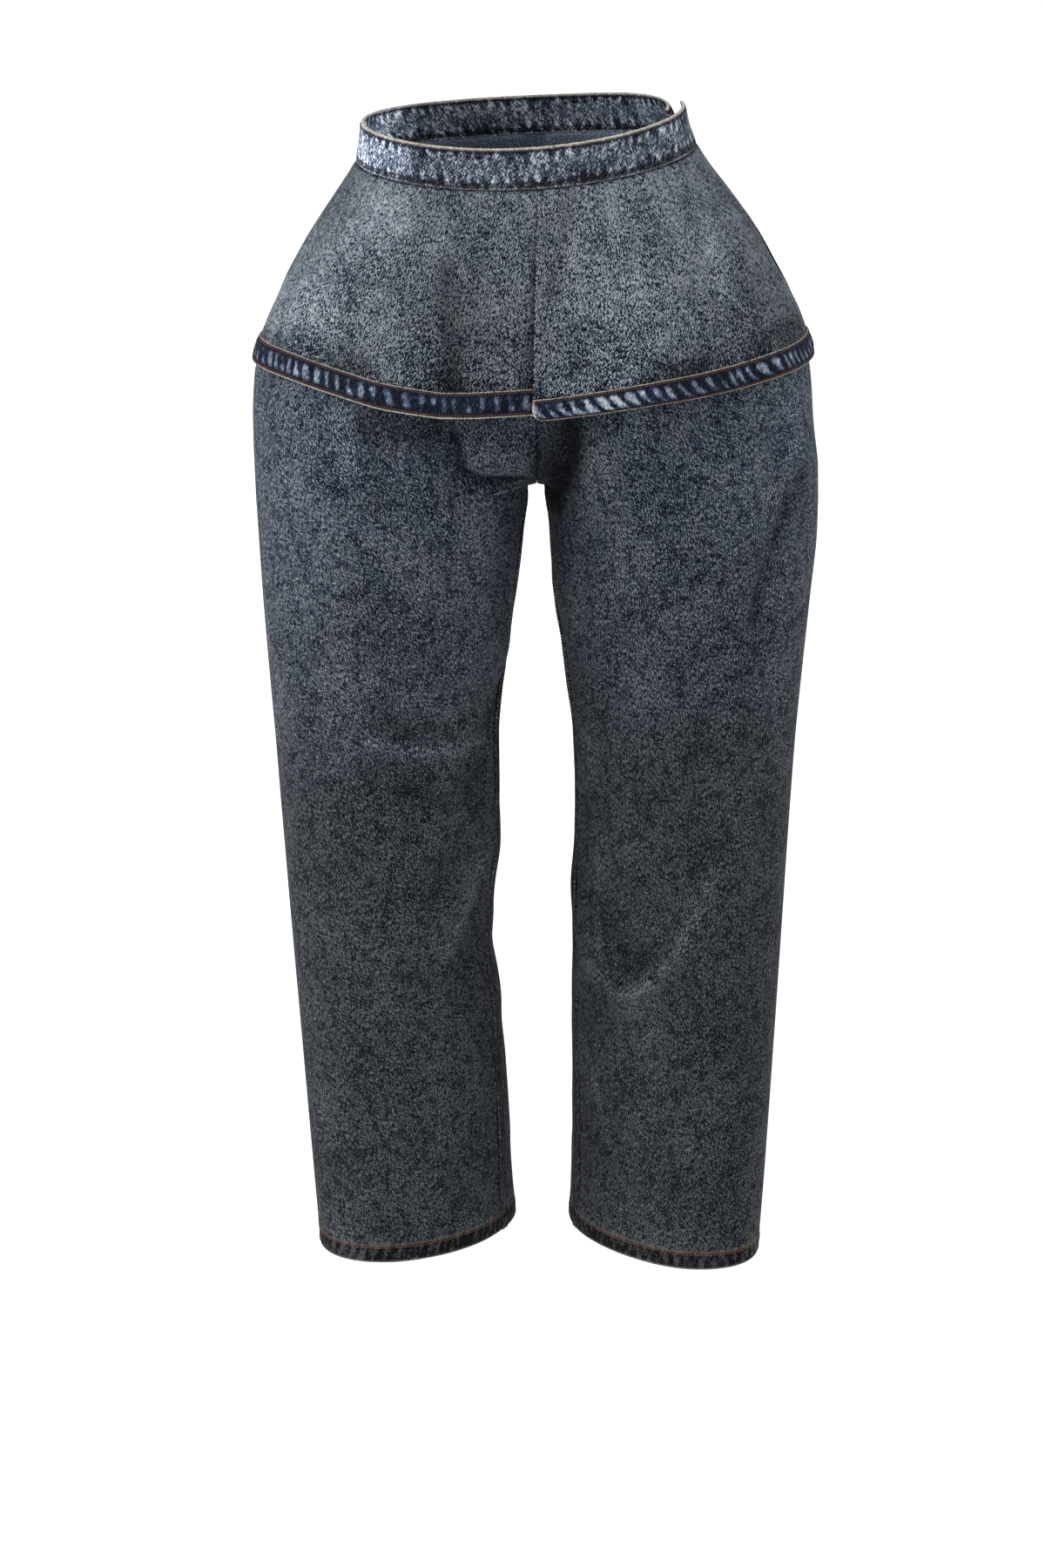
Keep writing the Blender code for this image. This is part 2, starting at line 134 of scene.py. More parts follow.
Ring = namedtuple("Ring", "down right left front back")
PEPLUM = [
    Ring(0.00, -150, 138, -112, 112),
    Ring(0.10, -161, 150, -119, 120),
    Ring(0.25, -178, 171, -130, 132),
    Ring(0.40, -194, 190, -142, 145),
    Ring(0.55, -208, 205, -154, 157),
    Ring(0.70, -220, 220, -166, 169),
    Ring(0.85, -231, 232, -178, 181),
    Ring(1.00, -239.5, 239.5, -188.5, 193.5),
]
BandRing = namedtuple("BandRing", "up right left front back")
WAISTBAND = [
    BandRing(0.0, -150, 138, -112, 112),
    BandRing(0.5, -148, 132, -110, 110.5),
    BandRing(1.0, -146, 128, -107, 108),
]

Hem = namedtuple("Hem", "angle z bulge")
PEPLUM_HEM = [
    Hem(0, -169, 0),
    Hem(35, -170, 3),
    Hem(65, -171, -5),
    Hem(90, -171, 4),
    Hem(118, -171, -5),
    Hem(148, -171, 3),
    Hem(180, -174, 0),
    Hem(205, -178, 1),
    Hem(225, -189, -3),
    Hem(241, -199, -1),
    Hem(257, -202.5, 4),
    Hem(271, -200, -1),
    Hem(289, -195, 1),
    Hem(304, -190, -3),
    Hem(327, -179, 1),
    Hem(360, -169, 0),
]

Section = namedtuple("Section", "level outer inner front back skew inseam")
RIGHT_LEG = [
    Section(0, -148.1, 3, -110.1, 110.1, 0, 0),
    Section(30, -166, 3, -114.5, 121, 0, 0),
    Section(60, -183.5, 3, -122, 133, 0, 0),
    Section(95, -202, 3, -130, 145, 0, 0),
    Section(130, -218.5, 3, -137, 154, 0, 0),
    Section(165, -234, 3, -141, 158, 0, 0),
    Section(189, -239, 3, -142, 158, 0, 0),
    Section(227, -241, 3, -140, 154, 0, 0),
    Section(280, -240, 3, -131, 139, 0, 0),
    Section(320, -238, -7, -124, 127, 1, 3),
    Section(380, -234.5, -15, -117, 114, 5, 8),
    Section(442, -230, -24, -111, 108, 9, 11),
    Section(504, -225, -29, -107, 105, 13, 14),
    Section(567, -220.5, -29, -105, 104, 17, 16),
    Section(695, -211, -35, -101, 101, 24, 20),
    Section(760, -206, -28, -98, 98, 27, 22),
    Section(892, -196, -20, -92, 93, 32, 27),
    Section(963, -190.5, -16, -90, 90, 34, 29),
]
LEFT_LEG = [
    Section(0, 136.1, 3, -110.1, 110.1, 0, 0),
    Section(30, 157, 3, -114.5, 121, 0, 0),
    Section(60, 178.5, 3, -122, 133, 0, 0),
    Section(95, 198.5, 3, -130, 145, 0, 0),
    Section(130, 218, 3, -137, 154, 0, 0),
    Section(165, 233.5, 3, -141, 158, 0, 0),
    Section(189, 238, 3, -142, 158, 0, 0),
    Section(227, 241, 3, -140, 154, 0, 0),
    Section(280, 246.5, 3, -131, 139, 0, 0),
    Section(320, 246, 13, -124, 127, 1, 3),
    Section(380, 240.5, 19, -117, 114, 6, 7),
    Section(442, 234.5, 28, -111, 108, 11, 9),
    Section(504, 229, 35, -107, 105, 16, 11),
    Section(567, 225, 37, -106, 104, 20, 13),
    Section(695, 218, 35, -103, 102, 28, 16),
    Section(760, 214.5, 35, -101, 101, 31, 18),
    Section(892, 207, 36, -97, 98, 37, 21),
    Section(967, 202, 34, -96, 96, 40, 22),
]

# The main creases, seen from the front and from the back. They lie along the solids' folds. Five
# are shallower than there, because the finer creases below add to them
Fold = namedtuple("Fold", "x0 z0 x1 z1 height width")
FRONT_FOLDS = [
    Fold(-72, -222, -60, -262, -7, 13),
    Fold(-58, -268, -14, -272, -6, 9),
    Fold(-40, -240, -20, -246, 5, 20),
    Fold(-118, -300, -40, -420, 4, 20),
    Fold(-180, -270, -166, -350, 4, 18),
    Fold(-34, -450, -48, -540, -2, 14),
    Fold(-150, -640, -90, -560, 3, 22),
    Fold(-60, -700, -150, -790, -3, 22),
    Fold(14, -268, 38, -214, -8, 11),
    Fold(48, -274, 74, -212, 5, 18),
    Fold(210, -220, 198, -372, -5, 15),
    Fold(176, -250, 160, -340, 3, 18),
    Fold(50, -728, 99, -714, 4, 14),
    Fold(99, -714, 160, -636, 4, 16),
    Fold(60, -660, 76, -704, -3, 13),
    Fold(76, -704, 118, -668, -3, 13),
    Fold(180, -560, 120, -500, 3, 22),
]
BACK_FOLDS = [
    Fold(-190, -262, -60, -300, -6, 16),
    Fold(-200, -330, -70, -352, 4, 20),
    Fold(-60, -250, -16, -268, -5, 12),
    Fold(-170, -650, -70, -690, -5, 18),
    Fold(-60, -610, -150, -600, 4, 20),
    Fold(190, -258, 66, -302, -6, 16),
    Fold(204, -324, 80, -356, 4, 20),
    Fold(64, -248, 18, -266, -5, 12),
    Fold(80, -700, 180, -640, -6, 18),
    Fold(70, -640, 170, -600, 4, 20),
]

# Finer creases, for the shells alone: a height and a width along a line of points, x then z
Stroke = namedtuple("Stroke", "height width points")
KNEE_ARC = [
    (48, -706),
    (62, -717),
    (79, -721),
    (95, -716),
    (109, -703),
    (122, -682),
    (136, -652),
    (157, -600),
]
FRONT_CREASES = [
    Stroke(-3.5, 5, [(-66, -222), (-58, -256), (-40, -268), (-6, -271)]),
    Stroke(2.5, 8, [(-52, -248), (-8, -250)]),
    Stroke(-1.8, 6, [(-32, -458), (-46, -532)]),
    Stroke(2.2, 6, [(-139, -490), (-96, -502), (-44, -502)]),
    Stroke(-1.0, 8, [(-110, -536), (-53, -554)]),
    Stroke(1.4, 6, [(-44, -608), (-75, -690)]),
    Stroke(-1.4, 6, [(-60, -581), (-88, -635)]),
    Stroke(-3.0, 6, [(28, -262), (28, -216)]),
    Stroke(3.0, 7, [(42, -262), (44, -216)]),
    Stroke(-2.0, 5, [(228, -262), (205, -315), (186, -385)]),
    Stroke(1.8, 7, [(222, -240), (200, -300)]),
    Stroke(2.0, 6, KNEE_ARC),
    Stroke(-1.0, 7, [(50, -640), (62, -680), (88, -697), (112, -674)]),
    Stroke(1.2, 5, [(47, -491), (57, -599), (57, -690)]),
    Stroke(1.0, 4, [(49, -782), (67, -866)]),
]
BACK_CREASES = [
    Stroke(-2.2, 6, [(-176, -266), (-120, -286), (-76, -290)]),
    Stroke(-2.2, 6, [(176, -264), (126, -288), (80, -292)]),
    Stroke(-1.8, 6, [(96, -694), (134, -680), (168, -650)]),
    Stroke(-1.7, 6, [(-158, -656), (-84, -684)]),
    Stroke(1.6, 7, [(-150, -610), (-60, -622)]),
]

# Painted light and shade along lines seen from the front or the back: the peplum's shadow on the
# legs, darker hollows and paler ridges of the folds, and flanks that turn to the light, with some
# darker patches of the wash among them. A height here is in stops
FRONT_PAINTED_SHADING = [
    Stroke(-2.2, 11, [(28, -210), (32, -238), (32, -252), (26, -268), (18, -292)]),
    Stroke(-1.0, 9, [(13, -264), (14, -214)]),
    Stroke(-1.6, 3.5, [(-64, -226), (-57, -256), (-40, -268), (-6, -271)]),
    Stroke(-0.35, 22, [(-48, -240), (-8, -240)]),
    Stroke(-1.1, 14, [(-140, -212), (-86, -222)]),
    Stroke(-0.6, 8, [(-86, -214), (-20, -216)]),
    Stroke(-0.4, 10, [(-132, -235), (-133, -281)]),
    Stroke(0.5, 9, [(-158, -206), (-150, -263)]),
    Stroke(0.3, 40, [(-215, -230), (-205, -480)]),
    Stroke(0.35, 16, [(-173, -438), (-139, -438)]),
    Stroke(0.7, 6, [(-139, -490), (-96, -502), (-44, -502)]),
    Stroke(-0.3, 9, [(-105, -532), (-60, -552)]),
    Stroke(-0.4, 7, [(-139, -472), (-78, -482)]),
    Stroke(0.4, 5, [(-44, -608), (-75, -690)]),
    Stroke(-0.4, 9, [(-62, -581), (-88, -635)]),
    Stroke(0.4, 5, [(47, -491), (57, -599), (57, -690)]),
    Stroke(0.45, 5.5, KNEE_ARC),
    Stroke(-0.3, 12, [(60, -650), (88, -697), (112, -674)]),
    Stroke(-0.3, 25, [(134, -491), (135, -599)]),
    Stroke(0.3, 14, [(213, -368), (212, -491)]),
    Stroke(-0.6, 8, [(228, -264), (205, -315), (186, -385)]),
    Stroke(0.4, 8, [(216, -204), (217, -250)]),
    Stroke(0.3, 3.5, [(49, -782), (67, -866)]),
]
BACK_PAINTED_SHADING = [
    Stroke(-0.5, 8, [(-176, -270), (-120, -290), (-76, -294)]),
    Stroke(-0.5, 8, [(176, -268), (126, -292), (80, -296)]),
    Stroke(-0.5, 9, [(96, -698), (134, -684), (168, -654)]),
]
PEPLUM_PAINTED_SHADING = [
    Stroke(0.75, 32, [(-125, -45), (-160, -91), (-185, -132)]),
    Stroke(0.35, 14, [(-195, -100), (-222, -150)]),
    Stroke(-0.75, 9, [(-74, -85), (-68, -149), (-64, -191)]),
    Stroke(-0.4, 24, [(-60, -110), (-60, -180)]),
    Stroke(0.25, 10, [(45, -24), (12, -166)]),
    Stroke(-0.6, 6, [(28, -33), (16, -107)]),
    Stroke(-0.35, 32, [(-50, -125), (15, -150)]),
    Stroke(0.5, 40, [(82, -41), (83, -149)]),
    Stroke(0.35, 30, [(130, -20), (160, -80)]),
    Stroke(0.3, 5, [(141, -49), (158, -115)]),
    Stroke(-0.25, 18, [(178, -74), (195, -115)]),
    Stroke(-0.9, 13, [(-156, -164), (-146, -166)]),
    Stroke(-1.0, 14, [(-64, -176), (-60, -180)]),
    Stroke(-1.1, 13, [(95, -176), (140, -168)]),
    Stroke(-0.7, 12, [(185, -152), (215, -142)]),
    Stroke(0.5, 5, [(21, -176), (88, -172)]),
]

# Soft creases of the peplum: an angle, where it starts and ends down, and its height and width
Pleat = namedtuple("Pleat", "angle start end height width")
PLEATS = [
    Pleat(251.0, 0.30, 1.1, -3.2, 11),
    Pleat(262.0, 0.55, 1.1, 2.2, 14),
    Pleat(281.0, 0.20, 0.55, -1.8, 12),
    Pleat(296.0, 0.50, 1.1, 1.8, 18),
    Pleat(318.0, 0.40, 1.1, -2.0, 18),
    Pleat(222.0, 0.45, 1.1, -1.8, 16),
    Pleat(65.0, 0.35, 1.1, -2.4, 16),
    Pleat(118.0, 0.40, 1.1, -2.4, 15),
    Pleat(90.0, 0.50, 1.1, 2.0, 18),
]

# How finely each panel is divided
MESH_STEP = 3.4
PEPLUM_STEP = 3.2
BAND_STEP = 2.0
INNER_PLACES = (0, 0.8, 1.7, 2.7, 4.0, 5.4, 6.8, 8.0, 9.0, 10.0, 11.0, 12.4, 14.6, 17.6)
OUTSEAM_PLACES = (0, 0.9, 2.0, 3.6, 6.0)
CROTCH_RISES = (9, 6.5, 4.5, 3, 1.9, 1.1, 0.55, 0.2, 0.05, 0)
CROTCH_DROPS = (0.3, 0.8, 1.5, 2.5, 4, 6, 8.5, 11.5)
HEM_RISES = (22, 19, 17, 15.6, 14.6, 13.6, 12.6, 11.4, 9.6, 7.6, 5.6, 3.8, 2.2, 1.0, 0.4, 0)
EDGE_RISES = (0, 0.4, 1.0, 1.8, 2.8, 4.0)
BAND_RISES = (
    *(21.5, 21.1, 20.5, 19.7, 18.9, 17.9, 16.4, 14.8, 13.2, 11.6),
    *(10, 8.4, 6.8, 5.2, 3.8, 2.8, 2.0, 1.2, 0.5, 0),
)
WAISTBAND_RISES = (
    *(33, 32.5, 31.8, 31, 30.2, 29.2, 27.6, 25, 22, 19, 16, 13),
    *(10, 7.6, 6, 5, 4.2, 3.4, 2.6, 1.8, 1, 0.4, 0),
)

# How pale the legs are, and how many stops darker each part is. A leg has its stops at STOP_LEVELS,
# and their darkening towards the hem is painted shade, as light from above would leave. The crotch's
# painted shadow and the painted light on the legs' inner edges are in stops too
LEG_TONE = 0.5
RIGHT_LEG_STOPS = (-0.9, -0.87, -1.32, -1.82, -1.82)
LEFT_LEG_STOPS = (-0.85, -0.95, -1.5, -2.1, -2.05)
STOP_LEVELS = (0, 200, 420, 560, 1000)
INNER_EDGE_PAINTED_LIGHT = 0.85
HEM_STOPS = -1.15
PEPLUM_STOPS = -0.83
CROTCH_SHADOW_STOPS = 1.1
CROTCH_SHADOW_SIDE = 12
CROTCH_SHADOW_UP = 22
CROTCH_SHADOW_WIDTH = 26

# Where the peplum's unwashed patches lie from side to side, in front and at the back
BLOTCHES = (-190, -72, 114, 205)

# Seams. A row of stitches lies at its distance from the panel's edge, and a pitch is the length of
# one rope mark or pucker along the cloth
FELL_WIDTH = 10.5
FELL_HEIGHT = 1.1
STITCH_SINK = 0.12
INSEAM_ROWS = (2.2, 8.2)
HEM_ROW = 13.2
BAND_ROWS = (2.4, PEPLUM_BAND_HEIGHT - 2.4)
WAISTBAND_ROWS = (2.4, 4.8, 30.6)
HEM_ROPE_PITCH = 9.5
BAND_ROPE_PITCH = 12.0
PEPLUM_PUCKER_PITCH = 8.0
WAIST_PUCKER_PITCH = 10.5

NOISE_CELLS = 64

# The stage
CAMERA_LENS = 85
CAMERA_SENSOR = 36
FLOOR_REACH = 90.0
FLOOR_GLOW = 0.84


def linear(hex_colour):
    """An sRGB colour as linear red, green, blue and alpha."""
    parts = [int(hex_colour[i : i + 2], 16) / 255 for i in (1, 3, 5)]
    return tuple(c / 12.92 if c <= 0.04045 else ((c + 0.055) / 1.055) ** 2.4 for c in parts) + (1.0,)


def smooth(amount):
    """0 below 0, 1 above 1, and a soft step between."""
    amount = np.clip(amount, 0.0, 1.0)
    return amount * amount * (3 - 2 * amount)


def mix(start, end, amount):
    return start + (end - start) * amount


def bump(distance, width):
    return np.exp(-((distance / width) ** 2))


def follow(places, values, place):
    """A smooth curve through a table's values, which never swings past them."""
    places, values = np.asarray(places, float), np.asarray(values, float)
    steps = np.diff(values) / np.diff(places)
    before, after = steps[:-1], steps[1:]
    same_way = before * after > 0
    inside = np.where(same_way, 2 * before * after / np.where(same_way, before + after, 1), 0)
    slopes = np.concatenate([steps[:1], inside, steps[-1:]])
    i = np.clip(np.searchsorted(places, place) - 1, 0, len(steps) - 1)
    width = places[i + 1] - places[i]
    u = np.clip((place - places[i]) / width, 0, 1)
    return (
        values[i] * (1 + 2 * u) * (1 - u) ** 2
        + slopes[i] * width * u * (1 - u) ** 2
        + values[i + 1] * u * u * (3 - 2 * u)
        - slopes[i + 1] * width * u * u * (1 - u)
    )


def row_at(table, place):
    """The table's row at places between its rows, its fields after the first in a list."""
    fields = table[0]._fields
    places = [getattr(row, fields[0]) for row in table]
    return [follow(places, [getattr(row, field) for row in table], place) for field in fields[1:]]


def ring_point(ring, angle):
    """The point of an oval at an angle, and how far it is towards the back, from -1 to 1."""
    right, left, front, back = ring
    side, towards_back = np.cos(np.radians(angle)), np.sin(np.radians(angle))
    x = (right + left) / 2 + (left - right) / 2 * side
    y = towards_back * np.where(towards_back > 0, back, -front)
    return x, y, towards_back


def waist_height(x, towards_back):
    """The height of the waist seam, which dips at the front and is tilted to the wearer's right."""
    tilt = WAIST_TILT * (x - WAIST_CENTRE_X)
    return tilt + WAIST_FRONT_BACK * towards_back + WAIST_DIP * towards_back**2


def soft_noise(u, v, size, seed):
    """Soft bumps from -1 to 1 about size apart, from a seeded grid of random heights."""
    heights = np.random.default_rng(seed).uniform(-1, 1, (NOISE_CELLS, NOISE_CELLS))
    u, v = u / size, v / size
    i, j = np.floor(u).astype(int), np.floor(v).astype(int)
    across, down = smooth(u - i), smooth(v - j)
    i0, i1, j0, j1 = (place % NOISE_CELLS for place in (i, i + 1, j, j + 1))
    near = mix(heights[i0, j0], heights[i1, j0], across)
    far = mix(heights[i0, j1], heights[i1, j1], across)
    return mix(near, far, down)


def grid_normals(grid, closed_rows=None, turn=1, ends=None):
    """Unit normals of a grid of points, rows first. The rows in closed_rows run on round."""
    across = np.empty_like(grid)
    across[:, 1:-1] = grid[:, 2:] - grid[:, :-2]
    across[:, 0] = grid[:, 1] - grid[:, 0]
    across[:, -1] = grid[:, -1] - grid[:, -2]
    down = np.gradient(grid, axis=0)
    if closed_rows is not None:
        round_step = grid[closed_rows, 1] - grid[closed_rows, -2]
        across[closed_rows, 0] = round_step
        across[closed_rows, -1] = round_step
        crotch = closed_rows.start
        down[crotch, ends] = grid[crotch + 1, ends] - grid[crotch, ends]
    normals = np.cross(down, across) * turn
    normals /= np.linalg.norm(normals, axis=2, keepdims=True) + 1e-12
    return normals


def run_along(grid, axis):
    """How far along its row or column each point of a grid lies."""
    steps = np.linalg.norm(np.diff(grid, axis=axis), axis=2)
    start = np.zeros_like(np.take(steps, [0], axis=axis))
    return np.concatenate([start, np.cumsum(steps, axis=axis)], axis=axis)


def line_at(grid, distances, at):
    """The points at a distance along each row of a grid."""
    return np.array(
        [
            [np.interp(at, distance, row[:, axis]) for axis in range(3)]
            for row, distance in zip(grid, distances)
        ]
    )


def border_of(rows, columns):
    """The places round a grid's edge, in order."""
    top = [(0, j) for j in range(columns)]
    right = [(i, columns - 1) for i in range(1, rows)]
    bottom = [(rows - 1, j) for j in range(columns - 2, -1, -1)]
    left = [(i, 0) for i in range(rows - 2, 0, -1)]
    return top + right + bottom + left


def make_shell(name, outer, inner, uv, facts, materials):
    """A closed thin shell between two grids, with a rounded rim, its facts kept as attributes."""
    rows, columns = outer.shape[:2]
    count = rows * columns
    border = np.array(border_of(rows, columns))
    edge = border[:, 0] * columns + border[:, 1]
    inside = np.clip(border, 1, [rows - 2, columns - 2])
    inside = inside[:, 0] * columns + inside[:, 1]
    flat_outer, flat_inner = outer.reshape(-1, 3), inner.reshape(-1, 3)
    thick = np.linalg.norm(flat_outer[edge] - flat_inner[edge], axis=1, keepdims=True)
    middle = (flat_outer[edge] + flat_inner[edge]) / 2
    outward = middle - (flat_outer[inside] + flat_inner[inside]) / 2
    outward /= np.linalg.norm(outward, axis=1, keepdims=True) + 1e-9
    rim = middle + outward * thick * 0.3
    points = np.concatenate([flat_outer, flat_inner, rim]) * MM

    places = np.arange(count).reshape(rows, columns)
    corners = [places[:-1, :-1], places[:-1, 1:], places[1:, 1:], places[1:, :-1]]
    front = np.stack([corner.ravel() for corner in corners], axis=1)
    back = front[:, ::-1] + count
    rim_places = 2 * count + np.arange(len(edge))
    after, rim_after = np.roll(edge, -1), np.roll(rim_places, -1)
    near = np.stack([edge, rim_places, rim_after, after], axis=1)
    far = np.stack([rim_places, edge + count, after + count, rim_after], axis=1)
    faces = np.concatenate([front, back, near, far])
    middle_face = len(front) // 2
    a, b, c, d = points[front[middle_face]]
    facing = np.cross(c - a, d - b) @ (points[front[middle_face, 0]] - points[front[middle_face, 0] + count])
    if facing < 0:
        faces = faces[:, ::-1]

    mesh = bpy.data.meshes.new(name)
    mesh.from_pydata(points.tolist(), [], faces.tolist())
    for material in materials:
        mesh.materials.append(material)
    kinds = np.zeros(len(faces), np.int32)
    kinds[len(front) : len(front) + len(back)] = len(materials) - 1
    mesh.polygons.foreach_set("material_index", kinds)
    mesh.polygons.foreach_set("use_smooth", np.ones(len(faces), bool))
    all_uv = np.concatenate([uv.reshape(-1, 2), uv.reshape(-1, 2), uv.reshape(-1, 2)[edge]]) * MM
    loops = np.empty(len(mesh.loops), np.int32)
    mesh.loops.foreach_get("vertex_index", loops)
    mesh.uv_layers.new(name="UVMap").data.foreach_set("uv", all_uv[loops].astype(np.float32).ravel())
    for fact, values in facts.items():
        values = np.broadcast_to(values, (rows, columns)).ravel()
        values = np.concatenate([values, values, values[edge]])
        attribute = mesh.attributes.new(fact, "FLOAT", "POINT")
        attribute.data.foreach_set("value", values.astype(np.float32))
    mesh.validate()
    piece = bpy.data.objects.new(name, mesh)
    bpy.context.scene.collection.objects.link(piece)
    return piece


def finish_cloth(piece, node):
    """Attaches a cloth piece to the body and hides the part that it replaces."""
    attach(piece, BODY)
    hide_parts(node)


def add_node(tree, kind, inputs=None, **settings):
    """Adds a node, with its own settings, and its inputs as values or as links."""
    node = tree.nodes.new(kind)
    for setting, value in settings.items():
        setattr(node, setting, value)
    for key, value in (inputs or {}).items():
        if isinstance(value, bpy.types.NodeSocket):
            tree.links.new(value, node.inputs[key])
        else:
            node.inputs[key].default_value = value
    return node


# One layer of a washed cloth's pattern: its size across and along in millimetres, its turn in
# degrees, its noise's detail, and how strongly it lightens and darkens. Threads of such denim are
# about 0.4 mm apart, too fine to show, so the first three layers are drawn coarse enough to show
Layer = namedtuple("Layer", "across along turn detail strength")
WASH = [
    Layer(0.86, 3.8, -34, 1.0, 3.0),
    Layer(0.86, 3.8, 20, 1.0, 2.8),
    Layer(0.93, 1.5, 4, 1.0, 2.4),
    Layer(9, 14, 20, 2.0, 0.95),
    Layer(44, 64, 0, 2.0, 0.85),
]
LEG_WASH = [
    Layer(0.78, 3.6, 38, 1.0, 2.0),
    Layer(0.78, 3.6, 4, 1.0, 1.7),
    Layer(0.88, 1.4, 4, 1.0, 1.7),
    Layer(9, 14, 20, 2.0, 0.2),
    Layer(48, 70, 0, 2.0, 0.45),
]
BAND_WASH = [
    Layer(1.0, 4.2, -30, 1.0, 1.5),
    Layer(1.0, 4.0, 40, 1.0, 1.4),
    Layer(1.2, 2.0, 4, 2.0, 0.8),
    Layer(5.5, 13, 28, 2.0, 1.0),
    Layer(20, 26, 0, 2.0, 0.8),
]
HEM_WASH = [
    Layer(1.3, 4.0, 26, 1.0, 0.6),
    Layer(1.3, 4.0, -36, 1.0, 0.5),
    Layer(1.5, 2.4, 4, 2.0, 0.5),
    Layer(3.5, 7, 30, 2.0, 0.8),
    Layer(30, 40, 0, 2.0, 0.3),
]


def start_material(name):
    """A new material, its node tree and its Principled shader."""
    material = bpy.data.materials.new(name)
    material.use_nodes = True
    return material, material.node_tree, material.node_tree.nodes["Principled BSDF"]


def make_denim(name, layers, colours):
    """Cotton twill dyed with indigo and washed with stones, which leaves pale flecks and clouds."""
    material, tree, shader = start_material(name)
    uv = add_node(tree, "ShaderNodeUVMap", uv_map="UVMap").outputs["UV"]
    facts = {
        fact: add_node(tree, "ShaderNodeAttribute", attribute_name=fact).outputs["Fac"]
        for fact in ("tone", "shade", "worn", "streak", "indigo", "grey")
    }

    # Crossed flecks like loose fibres, then mottles, then clouds
    value = facts["tone"]
    noises = []
    for i, layer in enumerate(layers):
        place = add_node(
            tree,
            "ShaderNodeMapping",
            {
                "Vector": uv,
                "Location": (0.17 * i, 0.05 * i, 0),
                "Rotation": (0, 0, radians(layer.turn)),
                "Scale": (layer.across * MM, layer.along * MM, 1),
            },
            vector_type="TEXTURE",
        ).outputs["Vector"]
        noise = add_node(
            tree,
            "ShaderNodeTexNoise",
            {"Vector": place, "Scale": 1.0, "Detail": layer.detail},
            noise_dimensions="2D",
        ).outputs["Fac"]
        noises.append(noise)
        centred = add_node(tree, "ShaderNodeMath", {0: noise, 1: 0.5}, operation="SUBTRACT").outputs[0]
        value = add_node(
            tree, "ShaderNodeMath", {0: centred, 1: layer.strength, 2: value}, operation="MULTIPLY_ADD"
        ).outputs[0]

    # Washed hems show pale upright streaks, with dark hollows between them
    streaks = add_node(
        tree,
        "ShaderNodeMapping",
        {"Vector": uv, "Rotation": (0, 0, radians(-12)), "Scale": (5.5 * MM, 26 * MM, 1)},
        vector_type="TEXTURE",
    ).outputs["Vector"]
    streaking = add_node(
        tree,
        "ShaderNodeTexNoise",
        {"Vector": streaks, "Scale": 1.0, "Detail": 1.0},
        noise_dimensions="2D",
    ).outputs["Fac"]
    streaking = add_node(
        tree,
        "ShaderNodeMapRange",
        {"Value": streaking, "From Min": 0.38, "From Max": 0.64, "To Min": -0.26, "To Max": 0.3},
        interpolation_type="SMOOTHSTEP",
    ).outputs["Result"]
    value = add_node(
        tree, "ShaderNodeMath", {0: streaking, 1: facts["streak"], 2: value}, operation="MULTIPLY_ADD"
    ).outputs[0]

    # Where the stones didn't reach, the indigo stays dark, with a ragged edge
    ragged = add_node(
        tree, "ShaderNodeMath", {0: noises[3], 1: 3.0, 2: facts["indigo"]}, operation="MULTIPLY_ADD"
    ).outputs[0]
    unwashed = add_node(
        tree,
        "ShaderNodeMapRange",
        {"Value": ragged, "From Min": 1.3, "From Max": 2.1, "To Min": 0.0, "To Max": -0.3},
        interpolation_type="SMOOTHSTEP",
    ).outputs["Result"]
    value = add_node(tree, "ShaderNodeMath", {0: value, 1: unwashed}, operation="ADD").outputs[0]

    ramp = add_node(tree, "ShaderNodeValToRGB", {"Fac": value})
    stops = [
        (0.0, colours.deep),
        (0.19, colours.dark),
        (0.5, colours.middle),
        (0.75, colours.pale),
        (1.0, colours.white),
    ]
    for _ in range(len(stops) - 2):
        ramp.color_ramp.elements.new(0.5)
    for element, (position, colour) in zip(ramp.color_ramp.elements, stops):
        element.position = position
        element.color = (*colour, 1)

    # The dye greys as it fades down the legs, and leans to blue or green in clouds. Its value is each
    # panel's brightness with its painted light and shade
    greyed = add_node(
        tree, "ShaderNodeMath", {0: facts["grey"], 1: -0.35, 2: 1.08}, operation="MULTIPLY_ADD"
    ).outputs[0]
    leaning = add_node(
        tree, "ShaderNodeMath", {0: noises[4], 1: 0.04, 2: 0.48}, operation="MULTIPLY_ADD"
    ).outputs[0]
    dyed = add_node(
        tree,
        "ShaderNodeHueSaturation",
        {"Hue": leaning, "Saturation": greyed, "Value": facts["shade"], "Color": ramp.outputs["Color"]},
    ).outputs["Color"]

    # Folded edges are rubbed pale, unevenly
    rubbed = add_node(
        tree, "ShaderNodeMath", {0: noises[2], 1: 2.2, 2: -0.35}, operation="MULTIPLY_ADD", use_clamp=True
    ).outputs[0]
    rubbed = add_node(
        tree, "ShaderNodeMath", {0: rubbed, 1: facts["worn"]}, operation="MULTIPLY", use_clamp=True
    ).outputs[0]
    finished = add_node(
        tree, "ShaderNodeMix", {0: rubbed, 6: dyed, 7: (*colours.worn, 1)}, data_type="RGBA"
    ).outputs[2]
    tree.links.new(finished, shader.inputs["Base Color"])

    grain = add_node(tree, "ShaderNodeMath", {0: noises[0], 1: noises[1]}, operation="ADD").outputs[0]
    grain = add_node(tree, "ShaderNodeMath", {0: grain, 1: noises[2]}, operation="ADD").outputs[0]
    relief = add_node(
        tree, "ShaderNodeBump", {"Height": grain, "Strength": 0.4, "Distance": 0.5 * MM}
    ).outputs["Normal"]
    tree.links.new(relief, shader.inputs["Normal"])
    shader.inputs["Roughness"].default_value = 0.9
    shader.inputs["Specular IOR Level"].default_value = 0.1
    return material


